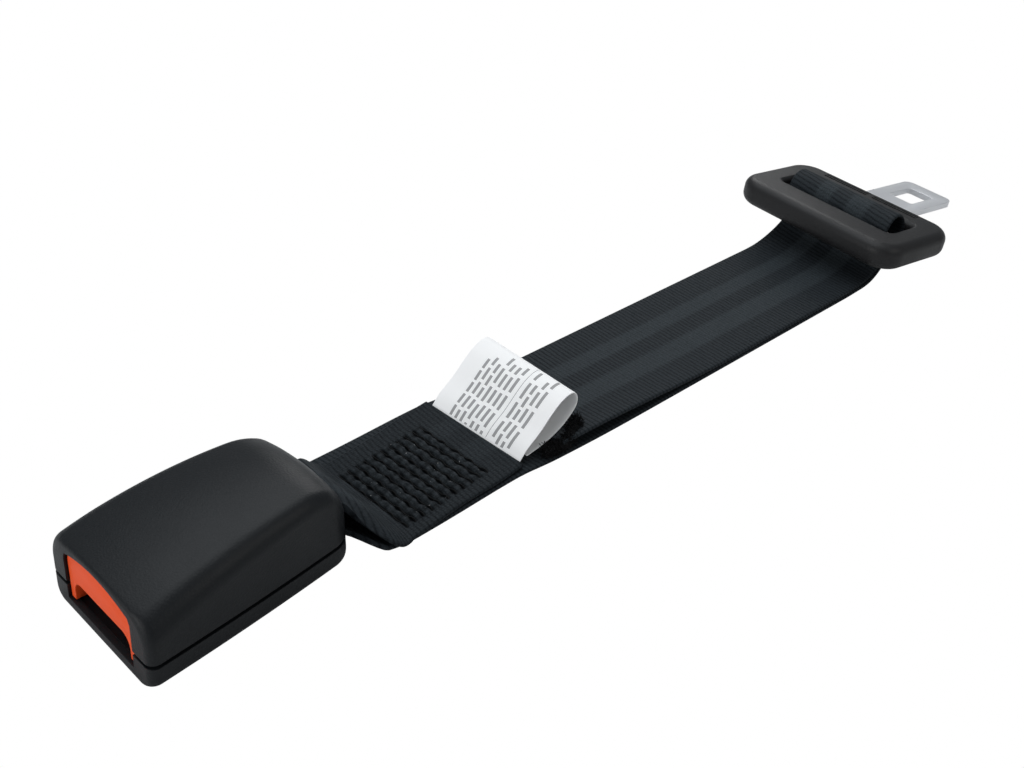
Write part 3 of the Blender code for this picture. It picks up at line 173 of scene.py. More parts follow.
# Stitching
STITCH_LINES = 10
STITCH_PITCH = 3.29 * mm
STITCH_LENGTH = 3.1 * mm
STITCH_HALF = 15.4 * mm
STITCH_SHIFT = -1.6 * mm
STITCH_FIRST_X = BLOCK_X + 1.7 * mm
STITCH_MIDDLE_X = STITCH_FIRST_X + (STITCH_LINES - 1) / 2 * STITCH_PITCH
STITCH_ZIGZAG = 0.3 * mm
THREAD_RADIUS = 0.24 * mm
THREAD_LIFT = 0.3 * mm
THREAD_JITTER = 0.03 * mm
THREAD_STEPS = 6
BEAD_HEIGHT = 0.95 * mm
BEAD_HALF_WIDTH = 1.45 * mm
BEAD_ROW_TURN = 1.3
# Painted shade of the stitched block: the darkest share in the sunk lines, and a gain that makes the bead
# tops lighter than the cloth, a painted highlight
BEAD_SHADE = (0.12, 1.1)
BLOCK_SINK = 0.3 * mm
BLOCK_FADE = 1.0 * mm

# Label; its profile is in mm, from its seam up to the bend and back underneath
LABEL_FAR_Y = 20.6 * mm
LABEL_WIDTH = 39.4 * mm
LABEL_THICKNESS = 0.24 * mm
LABEL_BASE = Vector((END_A_X + 0.45 * mm, 3.0 * mm))
LABEL_FAR_STRETCH = (1.07, 1.06)
LABEL_COLUMNS = 40
LABEL_STEPS = 6
LABEL_PROFILE = [(0.0, 0.0), (3.0, 3.2), (8.0, 6.8), (12.9, 11.2), (16.2, 13.7), (19.7, 15.1), (22.2, 14.8),
                 (23.5, 12.6), (22.8, 9.4), (18.6, 5.7), (13.4, 3.1), (8.3, 1.8), (3.0, 1.0)]
# Strength of the label's painted glow
LABEL_GLOW = 0.12

# Grey bars on the label: places and lengths in mm, and as shares BAR_HALF, RULE_HALF, BAR_GAP and BAR_INK
BAR_START = 6.9
BAR_PITCH = 2.3
BAR_ROWS = 12
BAR_RULE_ROW = 7
BAR_MARGIN = 0.8
BAR_HALF = 0.24
RULE_HALF = 0.05
BAR_LENGTHS = (4.4, 7.4)
BAR_GAP = 0.2
BAR_ROW_ENDS = (22.0, 27.5)
BAR_INK = 0.62

# Frayed second end of the strap: the tuft's middle line and a fibre's steps are in mm
FRAY_MIDDLE = [(101.5, -20.6, 3.9), (106.5, -22.0, 4.3), (112.5, -20.6, 5.2), (118.0, -17.6, 5.9)]
FRAY_RADIUS = 2.1 * mm
FRAY_FIBRES = 1100
FIBRE_RADIUS = 0.14 * mm
FIBRE_STEP = (0.25, 0.55)
FIBRE_STEPS = 4
FIBRE_FLOOR = WEB_THICKNESS + 0.2 * mm

# Tongue, with its handle's height measured from the swing's axis
TONGUE_DROOP = math.radians(5.6)
TONGUE_YAW = math.radians(-4.5)
TONGUE_ROLL = math.radians(2.8)
HANDLE_FRONT = 20.6 * mm
HANDLE_REAR = 22.6 * mm
HANDLE_WIDTH = 74.6 * mm
HANDLE_THICKNESS = 10.0 * mm
HANDLE_CORNER_ROUND = 10.0 * mm
HANDLE_EDGE_ROUND = 3.8 * mm
HANDLE_TOP = 2.7 * mm
HANDLE_BOTTOM = HANDLE_TOP - HANDLE_THICKNESS
WINDOW_WIDTH = 52.0 * mm
WINDOW_HALF_LENGTH = 8.0 * mm
WINDOW_CORNER_ROUND = 2.0 * mm
WINDOW_FLARE = 1.5 * mm
GRIP_WIDTH = 0.9 * mm
GRIP_DEPTH = 0.8 * mm
GRIP_LENGTH = 21.0 * mm
GRIP_GAP = 2.4 * mm
GRIP_PITCH = 1.5 * mm
GRIP_COUNT = 3
GRIP_INSET = 3.4 * mm

# Weave: places and pitches in mm across and along the strap, heights as shares of its depth
RIB_PITCH = 1.66
RIB_SLANT = 0.1
RIB_SHARPNESS = 0.7
RIB_HEIGHT = 0.8
RIB_WANDER = 0.5
YARN_PITCH = 0.9
YARN_HEIGHT = 0.3
TWILL_PITCH = 1.1
TWILL_STEP = 0.25
TWILL_TURN = 5.0
FUZZ_HEIGHT = 0.9
BAND_PLACE = 7.6
FIRST_BAND_EDGES = (2.6, 4.2)
SECOND_BAND_EDGES = (3.4, 5.2)
BAND_HEIGHT = 0.3
BAND_RIB_LOSS = 0.5
BLOCK_WEAVE_END = 40.0
RIB_FADE_END = 60.0
BAND_FADE_END = 90.0
SPECK_LEVEL = 0.76
SPECK_SHARE = 0.6
WEAVE_DEPTH = 0.13 * mm

# Lights: place, point that they face, size in metres, power in watts and tint
LIGHTS = {
    "overhead": ((0.15, 0.25, 0.9), (0.12, 0.0, 0.0), 0.9, 5.0, (0.93, 0.97, 1.0)),
    "left_fill": ((-0.8, 0.1, 0.3), (0.0, 0.0, 0.02), 0.6, 2.8, (1.0, 1.0, 1.0)),
    "tongue_card": ((0.8, 0.5, 0.5), (0.28, 0.0, 0.02), 0.4, 1.6, (1.0, 1.0, 1.0)),
    "right_edge": ((0.4, -0.8, 0.6), (0.1, 0.0, 0.02), 0.5, 1.2, (1.0, 0.98, 0.93)),
}
ROOM_TONE = (0.2, 0.21, 0.22, 1.0)
FLOOR_TONE = (0.7, 0.7, 0.7, 1.0)
FLOOR_HALF = 3.0
FLOOR_DROP = 0.1 * mm
WHITE = (1.0, 1.0, 1.0, 1.0)
BLACK = (0.0, 0.0, 0.0, 1.0)


class Graph:
    """Short calls for building a material's nodes."""

    def __init__(self, name):
        self.material = bpy.data.materials.new(name)
        self.material.use_nodes = True
        self.tree = self.material.node_tree
        self.shader = self.tree.nodes["Principled BSDF"]

    def feed(self, node, inputs):
        """Give a node's inputs a value or another node's output."""
        for key, value in inputs.items():
            if isinstance(value, bpy.types.NodeSocket):
                self.tree.links.new(value, node.inputs[key])
            else:
                node.inputs[key].default_value = value

    def node(self, kind, inputs=(), **settings):
        """A new node with its settings and inputs."""
        made = self.tree.nodes.new(kind)
        for key, value in settings.items():
            setattr(made, key, value)
        self.feed(made, dict(inputs))
        return made

    def math(self, operation, first, second=0.0, third=0.0):
        """One arithmetic step."""
        return self.node("ShaderNodeMath", {0: first, 1: second, 2: third}, operation=operation).outputs[0]

    def plus(self, first, second):
        """Sum of two values."""
        return self.math("ADD", first, second)

    def times(self, first, second):
        """Product of two values."""
        return self.math("MULTIPLY", first, second)

    def rest_of(self, value):
        """What is left of 1."""
        return self.math("SUBTRACT", 1.0, value)

    def ridges(self, phase):
        """Round ridges, one to each whole number of the phase."""
        return self.math("ABSOLUTE", self.math("SINE", self.times(phase, math.pi)))

    def remap(self, value, low, high, to_low=0.0, to_high=1.0):
        """Straight-line change of range, clamped."""
        settings = {"Value": value, "From Min": low, "From Max": high, "To Min": to_low, "To Max": to_high}
        return self.node("ShaderNodeMapRange", settings).outputs[0]

    def blend(self, share, first, second):
        """Mix of two colours."""
        return self.node("ShaderNodeMix", {0: share, 6: first, 7: second}, data_type="RGBA").outputs[2]

    def noise(self, scale, detail=2.0, vector=None):
        """Noise at a number of cells a metre."""
        place = vector or self.node("ShaderNodeTexCoord").outputs["Object"]
        inputs = {"Scale": scale, "Detail": detail, "Vector": place}
        return self.node("ShaderNodeTexNoise", inputs).outputs[0]

    def uv(self, name):
        """The two coordinates of a UV map."""
        place = self.node("ShaderNodeUVMap", uv_map=name).outputs[0]
        split = self.node("ShaderNodeSeparateXYZ", {0: place})
        return split.outputs[0], split.outputs[1]

    def set(self, **inputs):
        """Principled inputs by name, with underscores for spaces."""
        self.feed(self.shader, {key.replace("_", " "): value for key, value in inputs.items()})

    def bump(self, height, distance, edge_radius=0.0):
        """Surface relief, over edges that look rounded by edge_radius."""
        inputs = {"Height": height, "Distance": distance}
        if edge_radius:
            inputs["Normal"] = self.node("ShaderNodeBevel", {"Radius": edge_radius}, samples=4).outputs[0]
        self.set(Normal=self.node("ShaderNodeBump", inputs).outputs[0])


def colour(red, green, blue):
    """A linear colour from a screen's values of 0 to 255."""
    channels = []
    for value in (red, green, blue):
        share = value / 255
        channels.append(share / 12.92 if share <= 0.04045 else ((share + 0.055) / 1.055) ** 2.4)
    return (*channels, 1.0)


def grained_plastic(name, base, roughness, grain, edge_radius):
    """Moulded plastic with a fine spark-eroded grain."""
    graph = Graph(name)
    cells = graph.noise(1700.0)
    patches = graph.noise(60.0, 3.0)
    uneven = graph.remap(patches, 0.3, 0.7, roughness - 0.03, roughness + 0.04)
    graph.set(Base_Color=base, Roughness=uneven, Specular_IOR_Level=0.25)
    graph.bump(cells, grain, edge_radius)
    return graph.material


def smooth_plastic(name, base, roughness, edge_radius):
    """Bright moulded plastic with a faint waviness."""
    graph = Graph(name)
    graph.set(Base_Color=base, Roughness=roughness, Specular_IOR_Level=0.25)
    graph.bump(graph.noise(400.0), 0.01 * mm, edge_radius)
    return graph.material


def brushed_metal(name, base, roughness, edge_radius):
    """Dull plated steel with fine lines and faint blotches."""
    graph = Graph(name)
    place = graph.node("ShaderNodeTexCoord").outputs["Object"]
    stretched = graph.node("ShaderNodeMapping", {"Vector": place, "Scale": (0.15, 1.0, 1.0)}).outputs[0]
    lines = graph.noise(2500.0, 2.0, stretched)
    blotches = graph.noise(90.0, 3.0)
    uneven = graph.remap(blotches, 0.3, 0.7, roughness - 0.05, roughness + 0.06)
    graph.set(Base_Color=base, Metallic=0.5, Roughness=uneven)
    graph.bump(lines, 0.004 * mm, edge_radius)
    return graph.material


def band(graph, across, middle, inner, outer):
    """1 within a lengthwise band, falling to 0 between two distances from its middle."""
    distance = graph.math("ABSOLUTE", graph.math("SUBTRACT", across, middle))
    return graph.rest_of(graph.remap(distance, inner, outer))


def strap_bands(graph, across, along):
    """The two smoother bands of the strap, fainter on the stitched block."""
    first = band(graph, across, BAND_PLACE, *FIRST_BAND_EDGES)
    second = band(graph, across, -BAND_PLACE, *SECOND_BAND_EDGES)
    fade = graph.remap(along, BLOCK_WEAVE_END, BAND_FADE_END, 0.3, 1.0)
    return graph.times(graph.math("MAXIMUM", first, second), fade)


def weave_height(graph, across, along, bands):
    """Slanted cross ribs, lengthwise yarns that step like a twill, raised bands and fuzz."""
    slanted = graph.plus(along, graph.times(across, RIB_SLANT))
    wander = graph.times(graph.noise(260.0), RIB_WANDER)
    rib_phase = graph.plus(graph.times(slanted, 1 / RIB_PITCH), wander)
    rib = graph.math("POWER", graph.ridges(rib_phase), RIB_SHARPNESS)
    rib_share = graph.math("SUBTRACT", RIB_HEIGHT, graph.times(bands, BAND_RIB_LOSS))
    rib_share = graph.times(rib_share, graph.remap(along, BLOCK_WEAVE_END, RIB_FADE_END, 0.6, 1.0))
    yarn_phase = graph.times(across, 1 / YARN_PITCH)
    step = graph.times(graph.math("PINGPONG", graph.math("FLOOR", yarn_phase), TWILL_TURN), TWILL_STEP)
    twill = graph.ridges(graph.plus(graph.times(along, 1 / TWILL_PITCH), step))
    height = graph.plus(graph.times(rib, rib_share), graph.times(bands, BAND_HEIGHT))
    height = graph.plus(height, graph.times(graph.times(graph.ridges(yarn_phase), twill), YARN_HEIGHT))
    fuzz = graph.math("SUBTRACT", graph.noise(1500.0, 4.0), 0.35)
    return graph.plus(height, graph.times(fuzz, FUZZ_HEIGHT))


def woven_strap():
    """Seat belt weave with two smoother bands and light specks among the stitches; painted shade darkens the
    weave's hollows and the sunk gaps of the stitched block, and a painted highlight lightens the rib tops.
    """
    graph = Graph("woven_strap")
    across, along = graph.uv("strap")
    relief_shade, stitched = graph.uv("relief")
    bands = strap_bands(graph, across, along)
    height = weave_height(graph, across, along, bands)
    tone = graph.blend(bands, colour(37, 42, 46), colour(50, 56, 60))
    # painted shade and highlight: the colour is darker in the weave's hollows and the block's sunk lines,
    # lighter on the rib tops
    shade = graph.times(graph.remap(height, 0.15, 1.1, 0.4, 1.2), relief_shade)
    lit = graph.node("ShaderNodeVectorMath", {0: tone, 3: shade}, operation="SCALE").outputs[0]
    specks = graph.math("GREATER_THAN", graph.noise(850.0, 1.0), SPECK_LEVEL)
    specks = graph.times(specks, graph.math("GREATER_THAN", stitched, 0.5))
    graph.set(Base_Color=graph.blend(graph.times(specks, SPECK_SHARE), lit, colour(150, 150, 150)))
    # the reflection is weaker too where the shade is painted
    graph.set(Roughness=0.7, Specular_IOR_Level=graph.times(shade, 0.12))
    graph.bump(height, WEAVE_DEPTH)
    return graph.material


def thread_material(name, base):
    """Bonded thread, matt and slightly rough."""
    graph = Graph(name)
    graph.set(Base_Color=base, Roughness=0.6, Specular_IOR_Level=0.08)
    graph.bump(graph.noise(3000.0), 0.05 * mm)
    return graph.material


def label_bars(graph, across, along):
    """Mask of plain bars: uneven dashes in rows, with one thin line in place of a row."""
    counted = graph.times(graph.math("SUBTRACT", across, BAR_START), 1 / BAR_PITCH)
    row = graph.math("FLOOR", counted)
    place = graph.math("FRACT", counted)
    uneven = graph.math("FRACT", graph.times(graph.math("SINE", graph.times(row, 12.9)), 43.7))
    length = graph.remap(uneven, 0.0, 1.0, *BAR_LENGTHS)
    beat = graph.math("FRACT", graph.plus(graph.math("DIVIDE", along, length), uneven))
    dash = graph.times(graph.math("COMPARE", place, 0.5, BAR_HALF), graph.math("GREATER_THAN", beat, BAR_GAP))
    row_end = graph.math("LESS_THAN", along, graph.remap(uneven, 0.0, 1.0, *BAR_ROW_ENDS))
    kept = graph.math("COMPARE", row, (BAR_ROWS - 1) / 2, BAR_ROWS / 2)
    rule_row = graph.math("COMPARE", row, BAR_RULE_ROW, 0.5)
    bars = graph.times(graph.times(dash, graph.times(row_end, kept)), graph.rest_of(rule_row))
    rule = graph.times(rule_row, graph.math("COMPARE", place, 0.5, RULE_HALF))
    return graph.times(graph.math("MAXIMUM", bars, rule), graph.math("GREATER_THAN", along, BAR_MARGIN))


def label_material():
    """White coated cloth with plain grey bars where the real label has its text, and a faint painted glow on
    its outer side between the bars.
    """
    graph = Graph("label_cloth")
    across, along = graph.uv("label")
    bars = label_bars(graph, across, along)
    # painted light: the outer side glows faintly white, but not on the bars
    outside = graph.math("GREATER_THAN", across, -0.5)
    glow = graph.blend(graph.times(outside, graph.rest_of(bars)), BLACK, WHITE)
    graph.set(Base_Color=graph.blend(graph.times(bars, BAR_INK), colour(246, 246, 246), colour(70, 70, 72)))
    graph.set(Roughness=0.6, Specular_IOR_Level=0.3, Emission_Color=glow, Emission_Strength=LABEL_GLOW)
    graph.bump(graph.noise(2200.0), 0.015 * mm)
    return graph.material


# Materials: name, colour, roughness, depth of the grain where it is set, width of the softened edges
BLACK_PLASTIC = grained_plastic("grained_black_plastic", colour(20, 23, 26), 0.43, 0.07 * mm, 0.4 * mm)
HANDLE_PLASTIC = grained_plastic("handle_black_plastic", colour(36, 36, 37), 0.42, 0.07 * mm, 0.5 * mm)
DARK_PLASTIC = grained_plastic("inner_dark_plastic", colour(26, 26, 28), 0.5, 0.02 * mm, 0.2 * mm)
ORANGE_PLASTIC = smooth_plastic("orange_plastic", colour(252, 88, 32), 0.5, 0.35 * mm)
STEEL = brushed_metal("plated_steel", colour(236, 237, 240), 0.32, 0.25 * mm)
SPRING_STEEL = brushed_metal("spring_steel", colour(150, 150, 155), 0.35, 0.0)
WEAVE = woven_strap()
THREAD = thread_material("black_thread", colour(14, 15, 16))
FRAY = thread_material("loose_fibres", colour(20, 20, 21))
LABEL_CLOTH = label_material()


def add_object(name, data):
    """Link a new object for its data."""
    made = bpy.data.objects.new(name, data)
    bpy.context.scene.collection.objects.link(made)
    return made


def add_piece(name, data, finish, body):
    """A mesh or curve as a piece that rides on a CAD body."""
    piece = add_object(name, data)
    data.materials.clear()
    data.materials.append(finish)
    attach(piece, body)
    return piece


def smooth(piece, angle=35.0):
    """Shade smooth but for the real corners."""
    piece.data.shade_smooth()
    piece.data.set_sharp_from_angle(angle=math.radians(angle))


def bake(piece):
    """Replace a piece's mesh by what its modifiers make of it."""
    graph = bpy.context.evaluated_depsgraph_get()
    made = bpy.data.meshes.new_from_object(piece.evaluated_get(graph))
    piece.modifiers.clear()
    piece.data = made


def refined(node, finish, body, bevel=0.0):
    """A CAD piece with welded faces, rounded edges and smooth shading."""
    mesh = NODES[node].data.copy()
    work = bmesh.new()
    work.from_mesh(mesh)
    bmesh.ops.remove_doubles(work, verts=work.verts, dist=0.001 * mm)
    bmesh.ops.dissolve_limit(work, angle_limit=math.radians(0.5), verts=work.verts, edges=work.edges)
    bmesh.ops.recalc_face_normals(work, faces=work.faces)
    work.to_mesh(mesh)
    work.free()
    piece = add_piece(node + "_look", mesh, finish, body)
    if bevel:
        step = piece.modifiers.new("rounded_edges", "BEVEL")
        step.width = bevel
        step.segments = 3
        step.limit_method = "ANGLE"
        step.angle_limit = math.radians(40)
        step.use_clamp_overlap = True
        bake(piece)
    smooth(piece)
    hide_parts(node)


def round_off(distance, radius):
    """How far a quarter-round end has dropped at a distance from that end."""
    if radius <= 0 or distance >= radius:
        return 0.0
    return radius - math.sqrt(max(radius ** 2 - (radius - max(distance, 0.0)) ** 2, 0.0))


def arc(centre, radius, first, last, steps):
    """Points of an arc between two angles in degrees, with both its ends."""
    angles = [math.radians(first + (last - first) * i / steps) for i in range(steps + 1)]
    return [(centre[0] + radius * math.cos(a), centre[1] + radius * math.sin(a)) for a in angles]


def casing_half_width(x, inset):
    """Half the casing's width at x, with its tapered sides and rounded plan corners."""
    along = (x - FRONT_X) / CASING_LENGTH
    taper = (CASING_FRONT_WIDTH - CASING_REAR_WIDTH) / 2
    half = CASING_FRONT_WIDTH / 2 - taper * ((1 - SIDE_BOW) * along + SIDE_BOW * along ** 2) - inset
    half -= round_off(x - FRONT_X - inset, FRONT_CORNER_ROUND - inset)
    return half - round_off(REAR_X - inset - x, REAR_CORNER_ROUND - inset)


def casing_top(x, inset):
    """Height of the casing's top at x: it rises towards the rear and rolls over behind its peak."""
    along = (x - FRONT_X) / CASING_LENGTH
    if along < PEAK_PLACE:
        height = PEAK_HEIGHT - (PEAK_HEIGHT - FRONT_HEIGHT) * (1 - along / PEAK_PLACE) ** 2
    else:
        height = PEAK_HEIGHT - (PEAK_HEIGHT - REAR_HEIGHT) * ((along - PEAK_PLACE) / (1 - PEAK_PLACE)) ** 2
    height -= round_off(x - FRONT_X - inset, FRONT_TOP_ROUND)
    return height - inset - round_off(REAR_X - inset - x, REAR_TOP_ROUND - inset)


def front_lean(x, z):
    """How far the casing's sloping front is set back at a height; it fades out behind the front."""
    fade = 1 - (x - FRONT_X) / FRONT_LEAN_LENGTH
    return FRONT_LEAN * z / FRONT_HEIGHT * min(max(fade, 0.0), 1.0)


def casing_stations(inset):
    """X positions along the casing, closer where its corners turn."""
    start, end = FRONT_X + inset, REAR_X - inset
    front = max(FRONT_CORNER_ROUND - inset, INSIDE_EDGE_ROUND)
    rear = max(REAR_CORNER_ROUND - inset, INSIDE_EDGE_ROUND)
    turns = [1 - math.cos(math.radians(angle)) for angle in CORNER_ANGLES]
    side_start, side_end = start + front, end - rear
    side = [side_start + (side_end - side_start) * i / SIDE_STATIONS for i in range(SIDE_STATIONS + 1)]
    return [start + front * t for t in turns] + side + [end - rear * t for t in reversed(turns)]


def mirrored_ring(x, far, middle):
    """A whole section from its far half and its middle, set back by the front's lean."""
    ring = far + middle + [(-y, z) for y, z in reversed(far)]
    return [(x + front_lean(x, z), y, z) for y, z in ring]


def upper_ring(x, inset, bottom):
    """Section of the top cover: drafted sides, round top edges and a crowned top."""
    half = casing_half_width(x, inset)
    top = casing_top(x, inset)
    along = (x - FRONT_X) / CASING_LENGTH
    edge_round = TOP_EDGE_ROUND_FRONT + (TOP_EDGE_ROUND_REAR - TOP_EDGE_ROUND_FRONT) * along
    radius = min(edge_round - inset, ROUND_LIMIT * min(half, top - bottom))
    draft = SIDE_DRAFT * (top - radius - PARTING_HEIGHT) / (PEAK_HEIGHT - PARTING_HEIGHT)
    flat = half - draft - radius
    side = arc((flat, top - radius), radius, 0, 90, 15)
    side += [(flat * k / ROOF_STEPS, top) for k in range(ROOF_STEPS - 1, 0, -1)]
    drop = SIDE_DRAFT * (bottom - PARTING_HEIGHT) / (PEAK_HEIGHT - PARTING_HEIGHT)
    far = [(half - drop, bottom)] + [(y, z + TOP_CROWN * (1 - (y / half) ** 2)) for y, z in side]
    return mirrored_ring(x, far, [(0.0, top + TOP_CROWN)])


def lower_ring(x, inset, top, floor):
    """Section of the bottom cover: upright sides, round lower edges and a flat underside."""
    half = casing_half_width(x, inset)
    under = floor + round_off(REAR_X - inset - x, REAR_UNDER_ROUND)
    radius = max(BOTTOM_EDGE_ROUND - inset, INSIDE_EDGE_ROUND)
    radius = min(radius, ROUND_LIMIT * min(half, top - under))
    far = [(half, top)] + arc((half - radius, under + radius), radius, 0, -90, 10)
    return mirrored_ring(x, far, [])


def ring_faces(ring_count, count):
    """Faces between rings of points that follow each other."""
    faces = []
    for row in range(ring_count - 1):
        for i in range(count):
            j = (i + 1) % count
            faces.append((row * count + i, row * count + j, (row + 1) * count + j, (row + 1) * count + i))
    return faces


def closed_mesh(name, rings, faces):
    """A mesh from rings of points, with its faces pointing outwards."""
    mesh = bpy.data.meshes.new(name)
    mesh.from_pydata([p for ring in rings for p in ring], [], faces)
    work = bmesh.new()
    work.from_mesh(mesh)
    bmesh.ops.recalc_face_normals(work, faces=work.faces)
    work.to_mesh(mesh)
    work.free()
    return mesh


def loft(name, rings, finish=None, body=None):
    """Skin closed rings and cap both ends; without a finish it is a cutter."""
    count = len(rings[0])
    last = (len(rings) - 1) * count
    faces = ring_faces(len(rings), count) + [tuple(range(count)), tuple(range(last, last + count))]
    mesh = closed_mesh(name, rings, faces)
    return add_piece(name, mesh, finish, body) if finish else add_object(name, mesh)


def prism(name, outline, low_x, high_x):
    """A cutter with an outline in Y and Z, run along X."""
    return loft(name, [[(x, y, z) for y, z in outline] for x in (low_x, high_x)])


def cut(piece, cutters, operation="DIFFERENCE"):
    """Apply each cutter to a piece with a Boolean and throw the cutter away."""
    for cutter in cutters:
        step = piece.modifiers.new("cut", "BOOLEAN")
        step.operation = operation
        step.object = cutter
        step.solver = "EXACT"
        bake(piece)
        bpy.data.objects.remove(cutter, do_unlink=True)


def mouth_outline(sill):
    """The arched mouth of the casing, seen from the front."""
    half = MOUTH_WIDTH / 2
    rise = MOUTH_CROWN_HEIGHT - MOUTH_SIDE_HEIGHT
    shares = [k / MOUTH_STEPS for k in range(MOUTH_STEPS - 1, -MOUTH_STEPS, -1)]
    arch = [(half * share, MOUTH_SIDE_HEIGHT + rise * (1 - share ** 2)) for share in shares]
    side = MOUTH_SIDE_HEIGHT - MOUTH_CORNER_ROUND
    return [(-half, sill), (half, sill), (half, side)] + arch + [(-half, side)]


def strap_opening():
    """Cutter for the opening in the casing's rear that the strap goes through."""
    half, r = STRAP_OPENING_WIDTH / 2, STRAP_OPENING_ROUND
    low, high = FLOOR + SEAT_GAP, STRAP_OPENING_TOP
    outline = []
    corners = ((half - r, high - r), (r - half, high - r), (r - half, low + r), (half - r, low + r))
    for quarter, corner in enumerate(corners):
        outline += arc(corner, r, 90 * quarter, 90 * quarter + 90, 6)
    return prism("strap_opening", outline, REAR_X - REAR_CORNER_ROUND, REAR_X + REAR_CORNER_ROUND)


def cover_loft(name, section, inset, heights, *look):
    """A cover's sections as one body, set in from its outside."""
    return loft(name, [section(x, inset, *heights) for x in casing_stations(inset)], *look)


def open_cover(cover, hollow, sill, node):
    """Hollow a cover, cut its mouth and its strap opening, and put it in its solid's place."""
    depth = FRONT_CORNER_ROUND + WALL
    mouth = prism("mouth", mouth_outline(sill), FRONT_X - depth, FRONT_X + depth)
    cut(cover, [hollow, mouth, strap_opening()])
    smooth(cover, 40)
    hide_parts(node)


def make_casing():
    """Fine top and bottom covers in the CAD's own form, with a lip behind the parting groove."""
    groove_top = PARTING_HEIGHT + CASING_GAP / 2 + GROOVE_EDGE
    groove_bottom = PARTING_HEIGHT - CASING_GAP / 2 - GROOVE_EDGE
    cover = cover_loft("top_cover_look", upper_ring, 0.0, (groove_top,), BLACK_PLASTIC, "buckle")
    hollow = cover_loft("top_hollow", upper_ring, WALL, (0.0,))
    open_cover(cover, hollow, 0.0, "top_cover")
    cover = cover_loft("bottom_cover_look", lower_ring, 0.0, (groove_bottom, 0.0), BLACK_PLASTIC, "buckle")
    lip = cover_loft("bottom_lip", lower_ring, WALL - LIP_THICKNESS, (groove_top - LIP_GAP, FLOOR / 2))
    cut(cover, [lip], "UNION")
    hollow = cover_loft("bottom_hollow", lower_ring, WALL, (PEAK_HEIGHT, FLOOR))
    open_cover(cover, hollow, MOUTH_SILL_HEIGHT, "bottom_cover")


def bezier(start, first, second, end, steps):
    """Points of a cubic curve in the strap's side view, without its start."""
    points = []
    for i in range(1, steps + 1):
        t = i / steps
        weights = ((1 - t) ** 3, 3 * t * (1 - t) ** 2, 3 * t ** 2 * (1 - t), t ** 3)
        points.append(tuple(
            sum(w * p[k] for w, p in zip(weights, (start, first, second, end))) for k in range(2)))
    return points


def straight(start, end, steps):
    """Points of a straight run, without its start."""
    return [(start[0] + (end[0] - start[0]) * i / steps, start[1] + (end[1] - start[1]) * i / steps)
            for i in range(1, steps + 1)]


def buckle_loop_path(block_low, block_high):
    """Side view from the block's top ply round the anchor pin to its bottom ply."""
    loop_top = ANCHOR_HEIGHT + ANCHOR_LOOP_RADIUS
    loop_bottom = ANCHOR_HEIGHT - ANCHOR_LOOP_RADIUS
    reach = (BLOCK_X - REAR_X) / 2
    lobe_x, lobe_z = REAR_X - SEAT_GAP, max(LOBE_HEIGHT, loop_top)
    path = bezier(
        (BLOCK_X, block_high), (BLOCK_X - 0.8 * reach, block_high), (REAR_X + reach, lobe_z + SEAT_GAP),
        (lobe_x, lobe_z), LOBE_STEPS)
    path += bezier(
        (lobe_x, lobe_z), (lobe_x - 3 * mm, lobe_z - SEAT_GAP), (ANCHOR_X + 3 * mm, loop_top),
        (ANCHOR_X, loop_top), ENTRY_STEPS)
    path += arc((ANCHOR_X, ANCHOR_HEIGHT), ANCHOR_LOOP_RADIUS, 90, 270, 20)[1:]
    path += bezier(
        (ANCHOR_X, loop_bottom), (REAR_X, loop_bottom), (REAR_X + 0.8 * reach, block_low),
        (BLOCK_X, block_low), 24)
    return path


def tongue_loop_path(low, high):
    """Side view from the bottom ply up round the tongue's bar and back to the upper ply."""
    x, rise = TONGUE_X, STRAP_RISE_LENGTH
    loop = arc((x, TONGUE_AXIS_HEIGHT), TONGUE_LOOP_RADIUS, -59, 240, 50)
    front, rear = loop[0], loop[-1]
    neck_z = TONGUE_AXIS_HEIGHT - TONGUE_LOOP_RADIUS - NECK_DROP
    neck = (x - NECK_HALF, neck_z)
    rear_neck = (x - REAR_NECK, neck_z + NECK_HALF)
    path = bezier(
        (x - rise, low), (x - 0.35 * rise, low), (x - 0.2 * rise, low + 0.3 * (neck_z - low)), neck, 24)
    path += bezier(
        neck, (x + NECK_HALF, neck_z + 1.2 * mm), (front[0] - 1.2 * mm, front[1] - 0.8 * mm), front, 8)
    path += loop[1:]
    path += bezier(
        rear, (rear[0] + 0.5 * mm, rear[1] - 0.4 * mm), (rear_neck[0] + 0.4 * mm, rear_neck[1] + 0.8 * mm),
        rear_neck, 6)
    path += bezier(
        rear_neck, (x - 0.2 * rise, neck_z - 0.5 * (neck_z - high)), (x - 0.45 * rise, high),
        (x - rise, high), 24)
    return path


def smooth_step(value):
    """Ease from 0 to 1."""
    value = min(max(value, 0.0), 1.0)
    return value * value * (3 - 2 * value)


def strap_path():
    """The strap's whole route in side view, from its first end on the block to its second end."""
    low = WEB_THICKNESS / 2
    block_low = low + BLOCK_LIFT
    high = low + PLY_STEP
    block_high = block_low + PLY_STEP
    rise_x = TONGUE_X - STRAP_RISE_LENGTH
    coarse = round((rise_x - END_B_X) / (2 * STRAP_STEP))
    path = [(END_A_X, block_high)]
    path += straight(path[-1], (BLOCK_X, block_high), BLOCK_STEPS - 1)
    path += buckle_loop_path(block_low, block_high)
    path += straight(path[-1], (END_A_X - SETTLE_START, block_low), 20)
    settled = (END_A_X + SETTLE_END, low)
    path += bezier(path[-1], (END_A_X + 2 * mm, block_low), (END_A_X + 6 * mm, low), settled, 10)
    path += straight(path[-1], (rise_x, low), coarse)
    path += tongue_loop_path(low, high)
    path += straight(path[-1], (END_B_X, high), coarse)
    return path


def gather(x):
    """How far the strap is gathered at x: 1 in the buckle, 0 where it lies flat."""
    return smooth_step((BLOCK_X - x) / (BLOCK_X - REAR_X))


